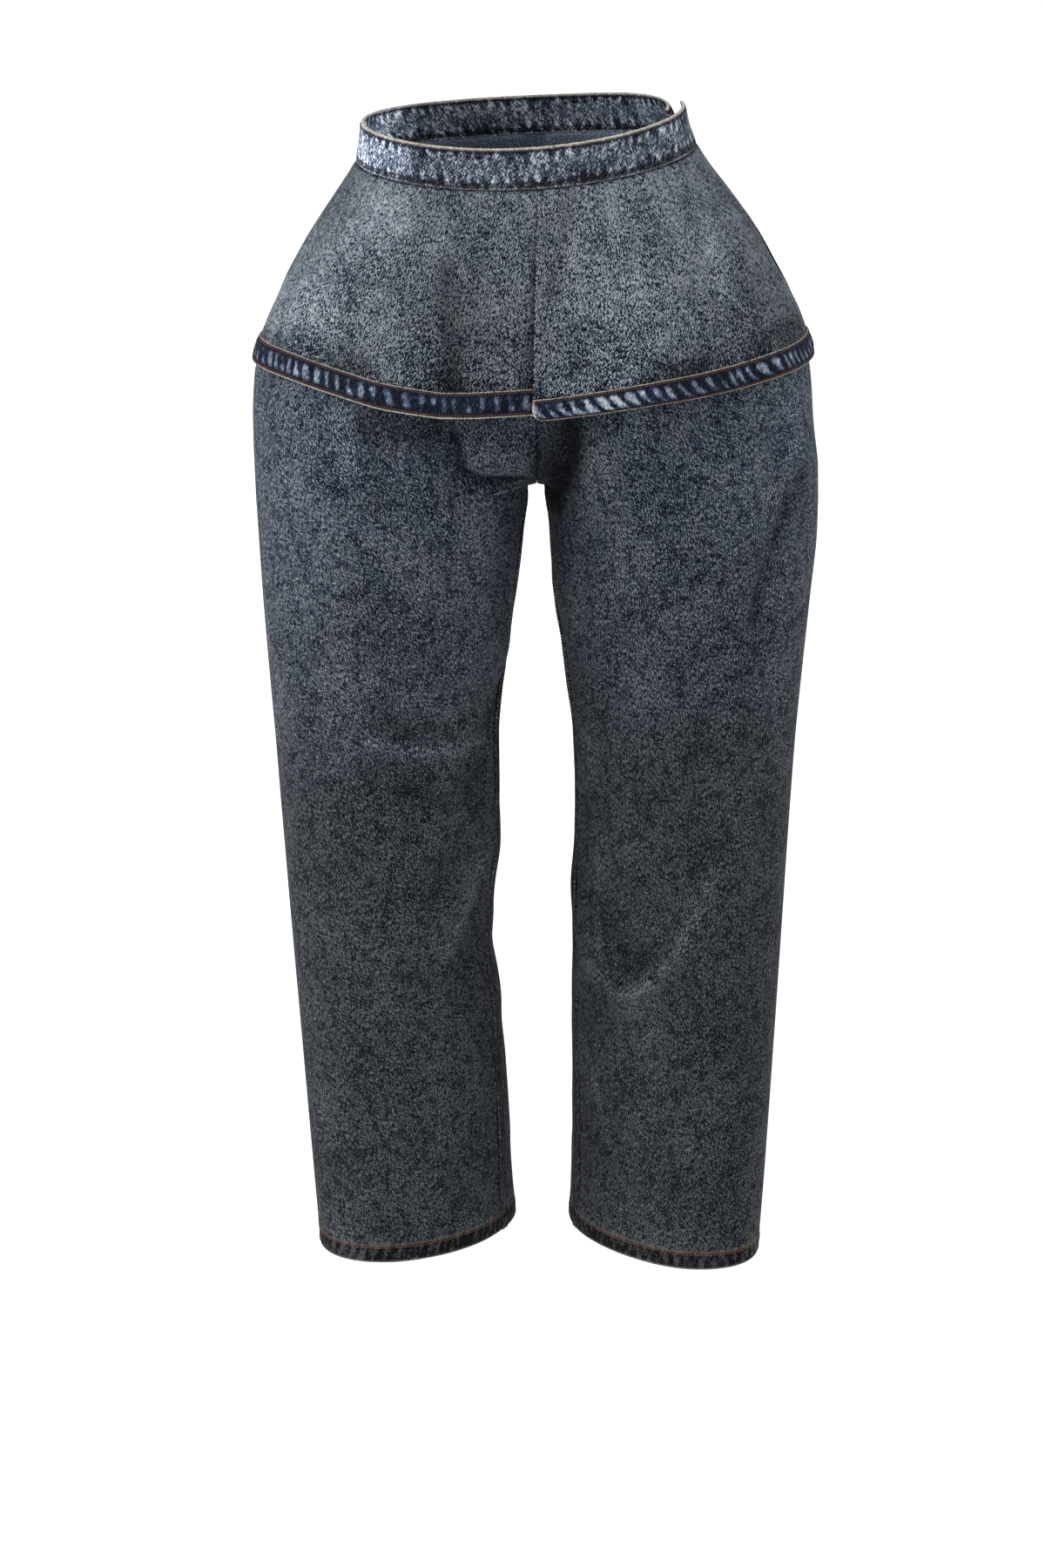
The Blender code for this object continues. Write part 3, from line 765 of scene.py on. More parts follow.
def make_reverse(name, colours):
    """The wrong side of denim shows its undyed weft, so it is a pale grey blue with fine flecks."""
    material, tree, shader = start_material(name)
    uv = add_node(tree, "ShaderNodeUVMap", uv_map="UVMap").outputs["UV"]
    grain = add_node(
        tree,
        "ShaderNodeTexNoise",
        {"Vector": uv, "Scale": 1 / (1.6 * MM), "Detail": 2.0},
        noise_dimensions="2D",
    ).outputs["Fac"]
    ramp = add_node(tree, "ShaderNodeValToRGB", {"Fac": grain})
    for element, position, colour in zip(
        ramp.color_ramp.elements, (0.35, 0.65), (colours.middle, colours.pale)
    ):
        element.position = position
        element.color = (*colour, 1)
    tree.links.new(ramp.outputs["Color"], shader.inputs["Base Color"])
    relief = add_node(
        tree, "ShaderNodeBump", {"Height": grain, "Strength": 0.3, "Distance": 0.4 * MM}
    ).outputs["Normal"]
    tree.links.new(relief, shader.inputs["Normal"])
    shader.inputs["Roughness"].default_value = 0.9
    shader.inputs["Specular IOR Level"].default_value = 0.1
    return material


def make_thread(name, colour):
    """Spun polyester sewing thread: a matt colour that darkens and lightens with its twist."""
    material, tree, shader = start_material(name)
    place = add_node(tree, "ShaderNodeTexCoord").outputs["Object"]
    fuzz = add_node(
        tree, "ShaderNodeTexNoise", {"Vector": place, "Scale": 1 / (2.2 * MM), "Detail": 1.0}
    ).outputs["Fac"]
    ramp = add_node(tree, "ShaderNodeValToRGB", {"Fac": fuzz})
    for element, position, share in zip(ramp.color_ramp.elements, (0.3, 0.7), (0.45, 1.3)):
        element.position = position
        element.color = (*[min(1, part * share) for part in colour], 1)
    tree.links.new(ramp.outputs["Color"], shader.inputs["Base Color"])
    shader.inputs["Roughness"].default_value = 0.8
    shader.inputs["Specular IOR Level"].default_value = 0.2
    return material


def stitch_tree():
    """Geometry Nodes that lay one stitch after another along every line of a mesh."""
    tree = bpy.data.node_groups.new("Lockstitch rows", "GeometryNodeTree")
    tree.interface.new_socket("Geometry", in_out="INPUT", socket_type="NodeSocketGeometry")
    for name in ("Pitch", "Stitch Length", "Thread Width"):
        tree.interface.new_socket(name, in_out="INPUT", socket_type="NodeSocketFloat")
    tree.interface.new_socket("Thread", in_out="INPUT", socket_type="NodeSocketMaterial")
    tree.interface.new_socket("Geometry", in_out="OUTPUT", socket_type="NodeSocketGeometry")
    given = add_node(tree, "NodeGroupInput").outputs
    curve = add_node(tree, "GeometryNodeMeshToCurve", {"Mesh": given["Geometry"]}).outputs["Curve"]
    places = add_node(
        tree, "GeometryNodeResampleCurve", {"Curve": curve, "Length": given["Pitch"]}, mode="LENGTH"
    ).outputs["Curve"]
    tangent = add_node(tree, "GeometryNodeInputTangent").outputs["Tangent"]
    turn = add_node(
        tree, "FunctionNodeAlignRotationToVector", {"Vector": tangent}, axis="Z"
    ).outputs["Rotation"]
    knot = add_node(
        tree, "GeometryNodeMeshUVSphere", {"Segments": 6, "Rings": 4, "Radius": 0.5}
    ).outputs["Mesh"]
    size = add_node(
        tree,
        "ShaderNodeCombineXYZ",
        {"X": given["Thread Width"], "Y": given["Thread Width"], "Z": given["Stitch Length"]},
    ).outputs["Vector"]
    uneven = add_node(
        tree,
        "FunctionNodeRandomValue",
        {"Min": (0.9, 0.9, 0.8), "Max": (1.15, 1.15, 1.05), "Seed": 7},
        data_type="FLOAT_VECTOR",
    ).outputs["Value"]
    shape = add_node(
        tree, "ShaderNodeVectorMath", {0: size, 1: uneven}, operation="MULTIPLY"
    ).outputs["Vector"]
    laid = add_node(
        tree,
        "GeometryNodeInstanceOnPoints",
        {"Points": places, "Instance": knot, "Rotation": turn, "Scale": shape},
    ).outputs["Instances"]
    real = add_node(tree, "GeometryNodeRealizeInstances", {"Geometry": laid}).outputs["Geometry"]
    rounded = add_node(tree, "GeometryNodeSetShadeSmooth", {"Geometry": real}).outputs["Geometry"]
    dyed = add_node(
        tree, "GeometryNodeSetMaterial", {"Geometry": rounded, "Material": given["Thread"]}
    ).outputs["Geometry"]
    add_node(tree, "NodeGroupOutput", {"Geometry": dyed})
    return tree


def sew(name, rows, thread, sizes):
    """Stitches along rows of points in millimetres, as one piece."""
    points, edges = [], []
    for row in rows:
        start = len(points)
        points += (row * MM).tolist()
        edges += [(i, i + 1) for i in range(start, len(points) - 1)]
    mesh = bpy.data.meshes.new(name + "_lines")
    mesh.from_pydata(points, edges, [])
    guide = bpy.data.objects.new(name + "_lines", mesh)
    bpy.context.scene.collection.objects.link(guide)
    tree = bpy.data.node_groups.get("Lockstitch rows") or stitch_tree()
    modifier = guide.modifiers.new("Stitches", "NODES")
    modifier.node_group = tree
    values = {
        "Pitch": sizes.stitch_length + sizes.stitch_gap,
        "Stitch Length": sizes.stitch_length,
        "Thread Width": sizes.thread_width,
        "Thread": thread,
    }
    for item in tree.interface.items_tree:
        if item.in_out == "INPUT" and item.name in values:
            modifier[item.identifier] = values[item.name]
    bpy.context.view_layer.update()
    evaluated = guide.evaluated_get(bpy.context.evaluated_depsgraph_get())
    stitches = bpy.data.objects.new(name, bpy.data.meshes.new_from_object(evaluated))
    bpy.data.objects.remove(guide, do_unlink=True)
    bpy.context.scene.collection.objects.link(stitches)
    if not stitches.data.polygons:
        raise RuntimeError(f"{name} has no stitches")
    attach(stitches, BODY)


def fold_heights(x, z, folds):
    """How far the folds lift the cloth at places seen from the front or the back."""
    height = np.zeros(np.shape(x))
    for fold in folds:
        along = np.array([fold.x1 - fold.x0, fold.z1 - fold.z0], float)
        length = np.linalg.norm(along)
        along /= length
        distance = (x - fold.x0) * along[0] + (z - fold.z0) * along[1]
        aside = (x - fold.x0) * along[1] - (z - fold.z0) * along[0]
        beyond = np.maximum(0, np.maximum(-distance, distance - length))
        height += fold.height * bump(aside, fold.width) * bump(beyond, FOLD_END * fold.width)
    return height


def stroke_heights(x, z, strokes):
    """The strokes' heights at places seen from the front or the back."""
    height = np.zeros(np.shape(x))
    for stroke in strokes:
        nearest = np.full(np.shape(x), np.inf)
        for (x0, z0), (x1, z1) in zip(stroke.points, stroke.points[1:]):
            length = np.hypot(x1 - x0, z1 - z0)
            share = np.clip(((x - x0) * (x1 - x0) + (z - z0) * (z1 - z0)) / length**2, 0, 1)
            aside = np.hypot(x - mix(x0, x1, share), z - mix(z0, z1, share))
            nearest = np.minimum(nearest, aside)
        height += stroke.height * bump(nearest, stroke.width)
    return height


def pleat_heights(angle, down, pleats):
    """How far the soft creases lift the peplum."""
    height = 0.0
    for pleat in pleats:
        along = smooth((down - pleat.start) / 0.25) * smooth((pleat.end - down) / 0.15)
        aside = np.radians(angle - pleat.angle) * PLEAT_RADIUS
        height = height + pleat.height * along * bump(aside, pleat.width)
    return height


def rope_marks(along, rise, pitch, slant, seed, breadth=0.0):
    """The twist of a washed hem, from 0 in its hollows to 1 on its ridges, which breadth widens."""
    wander = 0.6 * soft_noise(along, along * 0, 3.3 * pitch, seed)
    wave = np.sin(2 * np.pi * ((along + slant * rise) / pitch + wander))
    uneven = 0.9 * soft_noise(along + 500, 1.3 * rise + 0 * along, 0.7 * pitch, seed + 1)
    return smooth((wave + uneven + breadth + 0.25) / 0.9)


def even(start, end, step):
    return np.linspace(start, end, max(2, int(round(abs(end - start) / step)) + 1))


def across_at(target, gap, power):
    """Where a torso section has its place in a whole oval. It is cut at the centre seam, at 0."""
    low, high = np.zeros(target.shape), np.ones(target.shape)
    for _ in range(30):
        middle = (low + high) / 2
        short = middle + gap * (1 - middle) ** power < target
        low, high = np.where(short, middle, low), np.where(short, high, middle)
    return np.where(target > gap, middle, 0.0)


def leg_levels(leg):
    """The levels of a leg's rows, close together at the crotch and the hem."""
    hem = leg[-1].level
    rises = [CROTCH_LEVEL - rise for rise in CROTCH_RISES]
    drops = [CROTCH_LEVEL + drop for drop in CROTCH_DROPS]
    hems = [hem - rise for rise in HEM_RISES]
    torso = even(0, rises[0], MESH_STEP)[:-1]
    long_run = even(drops[-1], hems[0], MESH_STEP)[1:-1]
    return np.concatenate([torso, rises, drops, long_run, hems])


def leg_shares(length):
    """The places of a panel's columns from its inner edge, 0, to its outseam, 1."""
    inner = np.array(INNER_PLACES) / length
    outer = 1 - np.array(OUTSEAM_PLACES)[::-1] / length
    middle = even(inner[-1], outer[0], MESH_STEP / length)[1:-1]
    return np.concatenate([inner, middle, outer])


def leg_face(leg, side, levels, turns):
    """A leg's outer face, from its front centre edge or inseam over the outseam to the back."""
    level = levels[:, None]
    outer, inner, front, back, skew, inseam = row_at(leg, level)
    other_outer = row_at(LEFT_LEG if leg is RIGHT_LEG else RIGHT_LEG, level)[0]
    torso = level <= CROTCH_LEVEL
    inner = np.where(torso, CENTRE_X, inner) + side * SEAM_GAP / 2
    inseam = np.where(torso, 0.0, inseam)
    below = np.maximum(level - CROTCH_LEVEL, 0) / PINCH_DROP
    pinch = side * PINCH * np.sqrt(below * np.exp(1 - below))
    height = np.clip((CROTCH_LEVEL - level) / CROTCH_BLEND, 0, 1)
    ring_centre = ((outer + other_outer) / 2 - inner) / (outer - inner)
    whole = (1 - ring_centre / (1 - ring_centre)) / 2
    gap = np.where(torso, whole * height**CROTCH_POWER, 0.0)
    power = np.where(torso, 1 + CROTCH_LOCAL * (1 - gap / whole) ** 2, 1.0)
    cut_off = 180 - np.degrees(np.arccos(2 * gap - 1))
    crowding = 1 + CROTCH_LOCAL * np.maximum(0, 1 - cut_off / 90) ** 2
    share = np.abs(1 - turns)
    way = np.where(turns < 1, 1.0, -1.0)
    theta = way * np.radians(share * (180 - way * inseam) - cut_off * share**crowding)
    across = across_at((1 + np.cos(theta)) / 2, gap, power)
    y = np.where(theta > 0, front, -back) * np.sin(theta) - skew * np.cos(theta)
    from_inseam = 180 - np.abs(np.degrees(theta))
    x = inner + across * (outer - inner) + pinch * bump(from_inseam, PINCH_ANGLE)
    waist_half = (WAISTBAND[0].left - WAISTBAND[0].right) / 2
    at_waist = WAIST_CENTRE_X + waist_half * side * np.cos(theta)
    fade = np.maximum(0, 1 - level / FADE_LEVEL)
    z = -level + (waist_height(at_waist, -np.sin(theta)) - SEAM_GAP) * fade
    return np.stack([x, y, z], axis=2)


def make_leg(leg, side, word, materials, threads, sizes):
    """A leg's front and back panels, with the felled inseam, the outseam and the hem."""
    levels = leg_levels(leg)
    shares = leg_shares(LEG_PANEL_WIDTH)
    half = len(shares)
    turns = np.concatenate([shares, 2 - shares[-2::-1]])
    grid = leg_face(leg, side, levels, turns)
    closed = slice(int(np.argmin(np.abs(levels - CROTCH_LEVEL))), None)
    # Beside the crotch the torso runs on into the leg without a line
    about = np.flatnonzero(np.abs(levels - CROTCH_LEVEL) < CROTCH_EASE)
    first, last = about[0], about[-1]
    gone = (levels[about] - levels[first]) / (levels[last] - levels[first])
    straight = mix(grid[first], grid[last], gone[:, None, None])
    clear = smooth((np.abs(grid[about, :, :1] - CENTRE_X) - 8) / 20)
    grid[about] = mix(grid[about], straight, clear)
    ends = np.abs(1 - turns) > 0.92
    normals = grid_normals(grid, closed, side, ends)
    x, z = grid[..., 0], grid[..., 2]
    at_front = turns < 1
    heights = np.where(at_front, fold_heights(x, z, FRONT_FOLDS), fold_heights(x, z, BACK_FOLDS))
    from_centre = np.where(levels[:, None] <= CROTCH_LEVEL, smooth(np.abs(x - CENTRE_X) / CENTRE_HOLD), 1)
    around = run_along(grid, 1)
    seed = 3 if side > 0 else 5
    waves = 0.9 * soft_noise(around, -z, 46, seed) + 0.4 * soft_noise(around + 400, -z * 0.7, 17, seed + 1)
    waves *= smooth((levels[:, None] - 190) / 60)
    creases = np.where(at_front, stroke_heights(x, z, FRONT_CREASES), stroke_heights(x, z, BACK_CREASES))
    # Painted light and shade along lines, in stops, seen from the front or the back
    painted_shading = np.where(at_front, stroke_heights(x, z, FRONT_PAINTED_SHADING), stroke_heights(x, z, BACK_PAINTED_SHADING))
    # The folds' ridges are paler and their hollows darker, partly wear of the wash on the ridges and partly
    # painted light and shade
    relief = 0.012 * heights + 0.03 * creases + 0.02 * waves
    # A painted shadow darkens the cloth about the crotch, and painted light brightens the legs' inner edges
    # below it
    edge = x.min(axis=1, keepdims=True) if side > 0 else x.max(axis=1, keepdims=True)
    above = levels[:, None] - CROTCH_LEVEL + CROTCH_SHADOW_UP
    to_crotch = np.hypot(x - CENTRE_X - CROTCH_SHADOW_SIDE, 0.7 * above)
    painted_shading -= CROTCH_SHADOW_STOPS * bump(to_crotch, CROTCH_SHADOW_WIDTH)
    painted_shading += INNER_EDGE_PAINTED_LIGHT * bump(x - edge, 12) * smooth((levels[:, None] - CROTCH_LEVEL - 20) / 80)
    heights = (heights + creases + waves) * smooth(np.abs(1 - turns) / OUTSEAM_HOLD) * from_centre
    grid += normals * heights[..., None]
    joined = (grid[closed, 0] + grid[closed, -1]) / 2
    grid[closed, 0] = joined
    grid[closed, -1] = joined

    hem_rise = (leg[-1].level - levels)[:, None]
    normals = grid_normals(grid, closed, side, ends)
    from_inner = run_along(grid[:, :half], 1)
    from_back_edge = run_along(grid[:, : half - 2 : -1], 1)[:, ::-1]
    around = run_along(grid, 1)
    outseam = around[:, half - 1 : half]

    # The back panel's edge is felled over the front one's, and the outseam lies in a groove
    fell = smooth(from_back_edge / 0.7 + 0.55) * smooth((FELL_WIDTH + 1.2 - from_back_edge) / 2.4)
    channel = sum(bump(from_back_edge - row, 0.9) for row in INSEAM_ROWS)
    back_raise = FELL_HEIGHT * fell - 0.35 * channel
    to_outseam = np.abs(around - outseam)
    raised = -0.8 * bump(to_outseam, 1.2) + 0.45 * bump(to_outseam - 6, 4)
    raised[:, half - 1 :] += back_raise
    # The hem is turned up and stitched, and puckers run up from its stitches
    twist = 2 * rope_marks(around, hem_rise, HEM_ROPE_PITCH, 0.4, 9) - 1
    in_hem = smooth((TROUSER_HEM - hem_rise) / 2.5)
    in_row = 0.6 * bump(hem_rise - HEM_ROW, 1.0)
    raised += in_hem * (0.5 + 0.3 * twist * smooth(hem_rise / 3)) - in_row
    raised += 0.3 * twist * smooth((26 - hem_rise) / 10) * (1 - in_hem)
    raised -= 0.7 * bump(hem_rise, 0.7)
    grid += normals * raised[..., None]
    limit = CENTRE_X + side * CENTRE_CLEAR
    nearest = np.maximum if side > 0 else np.minimum
    grid[: closed.start + 1, :, 0] = nearest(grid[: closed.start + 1, :, 0], limit)

    thick = CLOTH * (1 + smooth((TROUSER_HEM + 0.6 - hem_rise) / 0.6))
    inner = grid - normals * thick[..., None]
    inner[: closed.start + 1, :, 0] = nearest(inner[: closed.start + 1, :, 0], limit)
    v = -np.broadcast_to(levels[:, None], x.shape)
    uv = np.stack([(around - outseam) * side, v], axis=2)
    tone = LEG_TONE + relief - 0.16 * bump(hem_rise - HEM_ROW, 1.6) + 0.12 * bump(hem_rise - 16.5, 1.6)
    tone = tone - 0.2 * bump(to_outseam, 1.0)
    rows = sum(bump(from_back_edge - row, 1.3) for row in INSEAM_ROWS)
    tone[:, half - 1 :] += 0.15 * bump(from_back_edge - 5.2, 1.6) - 0.3 * rows
    # The front panel darkens along its inner edge: the seam's dark line with the painted shadow of the felled
    # back panel's edge
    tone[:, :half] -= 0.25 * bump(from_inner, 2.0)
    painted_shading[:, :half] -= 1.1 * bump(from_inner, 2.2) * smooth((levels[:, None] - CROTCH_LEVEL) / 30)
    tone += 0.32 * twist * in_hem
    worn = 0.35 * bump(hem_rise, 1.2) + 0.12 * bump(hem_rise - 15.6, 1.2) + 0 * x
    worn[:, half - 1 :] += 0.08 * bump(from_back_edge - 0.5, 0.9)
    # The legs grow darker towards the hem in painted shade, as light from above would leave them
    stops = LEFT_LEG_STOPS if side > 0 else RIGHT_LEG_STOPS
    down = follow(STOP_LEVELS, stops, levels)[:, None]
    facts = {
        "tone": tone,
        "shade": 2.0 ** (painted_shading + down + HEM_STOPS * smooth((20 - hem_rise) / 6)),
        "worn": worn,
        "streak": smooth((24 - hem_rise) / 12),
        "indigo": 0.0,
        "grey": smooth((levels[:, None] - 240) / 400),
    }
    parts = {"front": slice(0, half), "back": slice(half - 1, None)}
    for panel, part in parts.items():
        name = f"leg_{panel}_{word}"
        panel_facts = {fact: np.broadcast_to(values, x.shape)[:, part] for fact, values in facts.items()}
        faces = [points[:, part] for points in (grid, inner, uv)]
        piece = make_shell(f"denim_{name}", *faces, panel_facts, materials)
        finish_cloth(piece, name)

    lifted = grid + normals * STITCH_SINK
    back_grid, back_distances = lifted[:, : half - 2 : -1], from_back_edge[:, ::-1]
    lines = [line_at(back_grid, back_distances, row) for row in INSEAM_ROWS]
    sew(f"inseam_stitches_{word}", lines, threads.inseam, sizes)
    columns = lifted.transpose(1, 0, 2)[:, ::-1]
    rises = np.broadcast_to(hem_rise[::-1, 0], (len(turns), len(levels)))
    line = line_at(columns, rises, HEM_ROW)
    sew(f"hem_stitches_{word}", [line], threads.hem, sizes)


def peplum_point(angle, down):
    """The peplum's outer face at angles round it, down from 0 at the waist to 1 at the hem."""
    x, y, towards_back = ring_point(row_at(PEPLUM, down), angle)
    waist_x = ring_point(row_at(PEPLUM, down * 0), angle)[0]
    hem_z, bulge = row_at(PEPLUM_HEM, angle % 360)
    z = mix(waist_height(waist_x, towards_back) - SEAM_GAP, hem_z, down)
    out = bulge * down**1.5
    return np.stack([x + out * np.cos(np.radians(angle)), y + out * towards_back, z], axis=2)


def lap_angle(down, beyond=0.0):
    """The angle of the front lap's edge, or of a line beyond it to the wearer's left."""
    x = mix(LAP_TOP_X, LAP_HEM_X, down) + beyond
    right, left = row_at(PEPLUM, down)[:2]
    return 270 + (90 - np.degrees(np.arccos((x - (right + left) / 2) / ((left - right) / 2))))


def peplum_face(start, end, front_right=False, front_left=False):
    """Points and normals of one peplum panel. start and end give each edge's angle at a place down."""
    middle = even(EDGE_RISES[-1], PEPLUM_LENGTH - EDGE_RISES[-1], PEPLUM_STEP)[1:]
    rises = np.unique(np.concatenate([EDGE_RISES, middle, PEPLUM_LENGTH - np.array(EDGE_RISES)]))
    downs = (rises / PEPLUM_LENGTH)[:, None]
    first, last = start(downs), end(downs)
    columns = int(np.radians(last[-1, 0] - first[-1, 0]) * PEPLUM_RADIUS / PEPLUM_STEP)
    shares = (np.arange(columns + 3) - 1) / columns
    angle = mix(first, last, shares)
    grid = peplum_point(angle, downs)
    out = np.stack([np.cos(np.radians(angle)), np.sin(np.radians(angle)), 0 * angle], axis=2)
    if front_right:
        depth = LAP_DEPTH * smooth((downs - LAP_BEGINS) / (LAP_OPENS - LAP_BEGINS))
        depth = depth + LAP_HEM_DEPTH * downs**2
        turned = (angle - lap_angle(downs) + LAP_TURN) / (LAP_TURN - LAP_FLAT)
        grid -= out * (depth * smooth(turned))[..., None]
    if front_left:
        near = smooth(1 - (angle - lap_angle(downs)) / LAP_TURN)
        grid[..., 2] -= LEFT_HEM_DROP * downs**2 * near
    normals = grid_normals(grid)
    around, fallen = np.radians(angle) * PEPLUM_RADIUS, downs * PEPLUM_LENGTH
    heights = 0.8 * soft_noise(around, fallen, 52, 21) + 0.3 * soft_noise(around, fallen, 18, 22)
    heights = heights + pleat_heights(angle, downs, PLEATS)
    heights = heights * smooth(downs / 0.15)
    puckers = rope_marks(around, fallen, PEPLUM_PUCKER_PITCH, 0.1, 25) * bump(fallen - 3, 7)
    heights = heights + 0.35 * puckers - 1.1 * bump(fallen, 1.7)
    grid += normals * heights[..., None]
    return grid[:, 1:-1].copy(), grid_normals(grid)[:, 1:-1], angle[:, 1:-1]


def make_peplum_band(node, grid, normals, materials, threads, sizes, start_end, finish_end):
    """The hem band of one peplum panel, roped by washing, with a stitch row by each edge."""
    rises = np.array(BAND_RISES)
    up_columns = grid[::-1].transpose(1, 0, 2)
    distances = run_along(up_columns, 1)
    face = np.stack([line_at(up_columns, distances, rise) for rise in rises])
    facing = np.stack([line_at(normals[::-1].transpose(1, 0, 2), distances, rise) for rise in rises])
    # The twist needs finer columns than the panel has
    places = np.arange(face.shape[1])
    fine = np.linspace(0, places[-1], 2 * places[-1] + 1)
    face, facing = (
        np.stack([[np.interp(fine, places, row[:, axis]) for row in rows] for axis in range(3)], axis=2)
        for rows in (face, facing)
    )
    facing /= np.linalg.norm(facing, axis=2, keepdims=True)
    along = run_along(face, 1)
    rise = rises[:, None]
    middle = smooth((rise - 2.5) / 4) * smooth((PEPLUM_BAND_HEIGHT - 2.5 - rise) / 4)
    x = face[..., 0]
    broad = -0.45 + 0.6 * bump(x + 175, 50) + 1.25 * bump(x - 60, 46) + 0.6 * bump(x - 190, 40)
    twist = rope_marks(along, rise, BAND_ROPE_PITCH, 0.6, 31 + len(node), broad) * middle
    raised = CLOTH + 0.3 * middle + 0.6 * twist
    raised -= 0.35 * sum(bump(rise - row, 0.8) for row in BAND_ROWS)
    raised -= 0.6 * bump(rise, 0.5) + 0.6 * bump(rise - PEPLUM_BAND_HEIGHT, 0.5)
    inner = face + facing * SEAM_GAP
    outer = inner + facing * raised[..., None]
    uv = np.stack([along, np.broadcast_to(rise, along.shape)], axis=2)
    to_edge = np.broadcast_to(np.minimum(rise, PEPLUM_BAND_HEIGHT - rise), along.shape).copy()
    if start_end:
        to_edge = np.minimum(to_edge, along)
    if finish_end:
        to_edge = np.minimum(to_edge, along[:, -1:] - along)
    facts = {
        "tone": 0.08 + 0.04 * middle + (0.62 + 0.3 * broad) * twist,
        "shade": 1.0,
        "worn": 0.75 * bump(to_edge, 0.7),
        "streak": 0.2 * middle,
        "indigo": 0.0,
        "grey": 0.4,
    }
    piece = make_shell(f"hem_{node}", outer, inner, uv, facts, materials)
    finish_cloth(piece, node)
    lifted = (outer + facing * STITCH_SINK).transpose(1, 0, 2)[:, ::-1]
    heights = np.broadcast_to(rises[::-1], lifted.shape[:2])
    rows = [line_at(lifted, heights, row) for row in BAND_ROWS]
    sew(f"{node}_stitches", rows, threads.peplum, sizes)


def make_waistband_piece(node, start, end, tucked, materials, threads, sizes):
    """One piece of the waistband, with its worn top edge and its rows of stitching."""
    rises = np.array(WAISTBAND_RISES)
    ups = (rises / WAISTBAND_HEIGHT)[:, None]
    columns = int((end - start) * WAISTBAND_DEGREE / BAND_STEP)
    angle = mix(start, end, (np.arange(columns + 3) - 1) / columns)[None, :]
    x, y, towards_back = ring_point(row_at(WAISTBAND, ups), angle)
    waist_x = ring_point(row_at(WAISTBAND, ups * 0), angle)[0]
    z = waist_height(waist_x, towards_back) + ups * WAISTBAND_HEIGHT
    turned = smooth((TUCK_TURN[1] - angle) / (TUCK_TURN[1] - TUCK_TURN[0])) if tucked else 0.0
    inward = (TUCK_DEPTH + TUCK_SLACK * ups) * turned
    grid = np.stack([x - inward * np.cos(np.radians(angle)), y - inward * towards_back, z], axis=2)
    normals = grid_normals(grid)
    around = run_along(grid, 1)
    rise = rises[:, None]
    wander = 6 * soft_noise(around, around * 0, 34, 41)
    puckers = np.sin(2 * np.pi * (around + 0.5 * rise + wander) / WAIST_PUCKER_PITCH)
    by_edges = bump(rise - 6.5, 5) + bump(rise - 27, 5)
    raised = 0.3 * puckers * by_edges + 0.7 * soft_noise(around, around * 0 + rise, 40, 42)
    raised -= 0.45 * sum(bump(rise - row, 0.9) for row in WAISTBAND_ROWS)
    raised -= 0.8 * bump(rise - WAISTBAND_HEIGHT, 0.6) + 0.6 * bump(rise, 0.5)
    grid += normals * raised[..., None]
    normals = grid_normals(grid)[:, 1:-1]
    grid, around = grid[:, 1:-1].copy(), around[:, 1:-1]
    inner = grid - normals * BAND_CLOTH
    inner[..., 2] = grid[..., 2]
    uv = np.stack([around, np.broadcast_to(rise, around.shape)], axis=2)
    to_end = 1e3 + 0 * around if tucked else around[:, -1:] - around
    by_stitches = 0.7 * bump(rise - 3.6, 2.0) + bump(rise - 30.2, 1.6)
    by_rows = bump(rise - 2.4, 1.0) + bump(rise - 4.8, 0.8) + bump(rise - 30.4, 1.0)
    # The wearer's right end of the waistband gets painted light, and its stitch rows are darker
    facts = {
        "tone": 0.5 - 0.34 * by_stitches + 0.28 * puckers[:, 1:-1] * by_edges,
        "shade": 2.0 ** (0.09 + 1.6 * smooth((-grid[..., 0] - 90) / 45) - 1.1 * by_rows),
        "worn": 0.9 * bump(rise - WAISTBAND_HEIGHT, 1.2) + 0.2 * bump(rise, 0.7) + 0.6 * bump(to_end, 1.0),
        "streak": 0.75 * np.clip(by_edges, 0, 1),
        "indigo": 0.0,
        "grey": 0.8,
    }
    piece = make_shell(f"denim_{node}", grid, inner, uv, facts, materials)
    finish_cloth(piece, node)
    lifted = (grid + normals * STITCH_SINK).transpose(1, 0, 2)[:, ::-1]
    heights = np.broadcast_to(rises[::-1], lifted.shape[:2])
    rows = [line_at(lifted, heights, row) for row in WAISTBAND_ROWS]
    sew(f"{node}_stitches", rows, threads.waist, sizes)


def colour_property(name, description, hex_colour):
    return FloatVectorProperty(
        name=name,
        description=description,
        subtype="COLOR",
        size=3,
        min=0.0,
        max=1.0,
        default=linear(hex_colour)[:3],
    )


class TrouserSizes(bpy.types.PropertyGroup):
    stitch_length: FloatProperty(
        name="Stitch length", description="Length of one stitch", default=0.0021, unit="LENGTH"
    )
    stitch_gap: FloatProperty(
        name="Stitch gap", description="Gap from one stitch to the next", default=0.0006, unit="LENGTH"
    )
    thread_width: FloatProperty(
        name="Thread width", description="Width of the top-stitching thread", default=0.0009, unit="LENGTH"
    )


class TrouserColours(bpy.types.PropertyGroup):
    deep: colour_property("Deep indigo", "Dye that the stones never reached", "#070a14")
    dark: colour_property("Dark indigo", "Dark specks of the washed cloth", "#161e30")
    middle: colour_property("Washed blue", "The washed cloth's middle colour", "#394356")
    pale: colour_property("Pale blue", "Pale specks of the washed cloth", "#6d7886")
    white: colour_property("Bare cotton", "Cotton that has lost its dye", "#a4aaac")
    worn: colour_property("Worn edge", "Folded edges that are rubbed pale", "#c4bcae")
    waist_thread: colour_property("Waistband thread", "Thread of the waistband's rows", "#3a2a26")
    peplum_thread: colour_property("Peplum thread", "Thread of the peplum's hem band", "#623d32")
    inseam_thread: colour_property("Inseam thread", "Thread of the inseams and seat", "#18181b")
    hem_thread: colour_property("Hem thread", "Thread of the leg hems", "#7e5033")


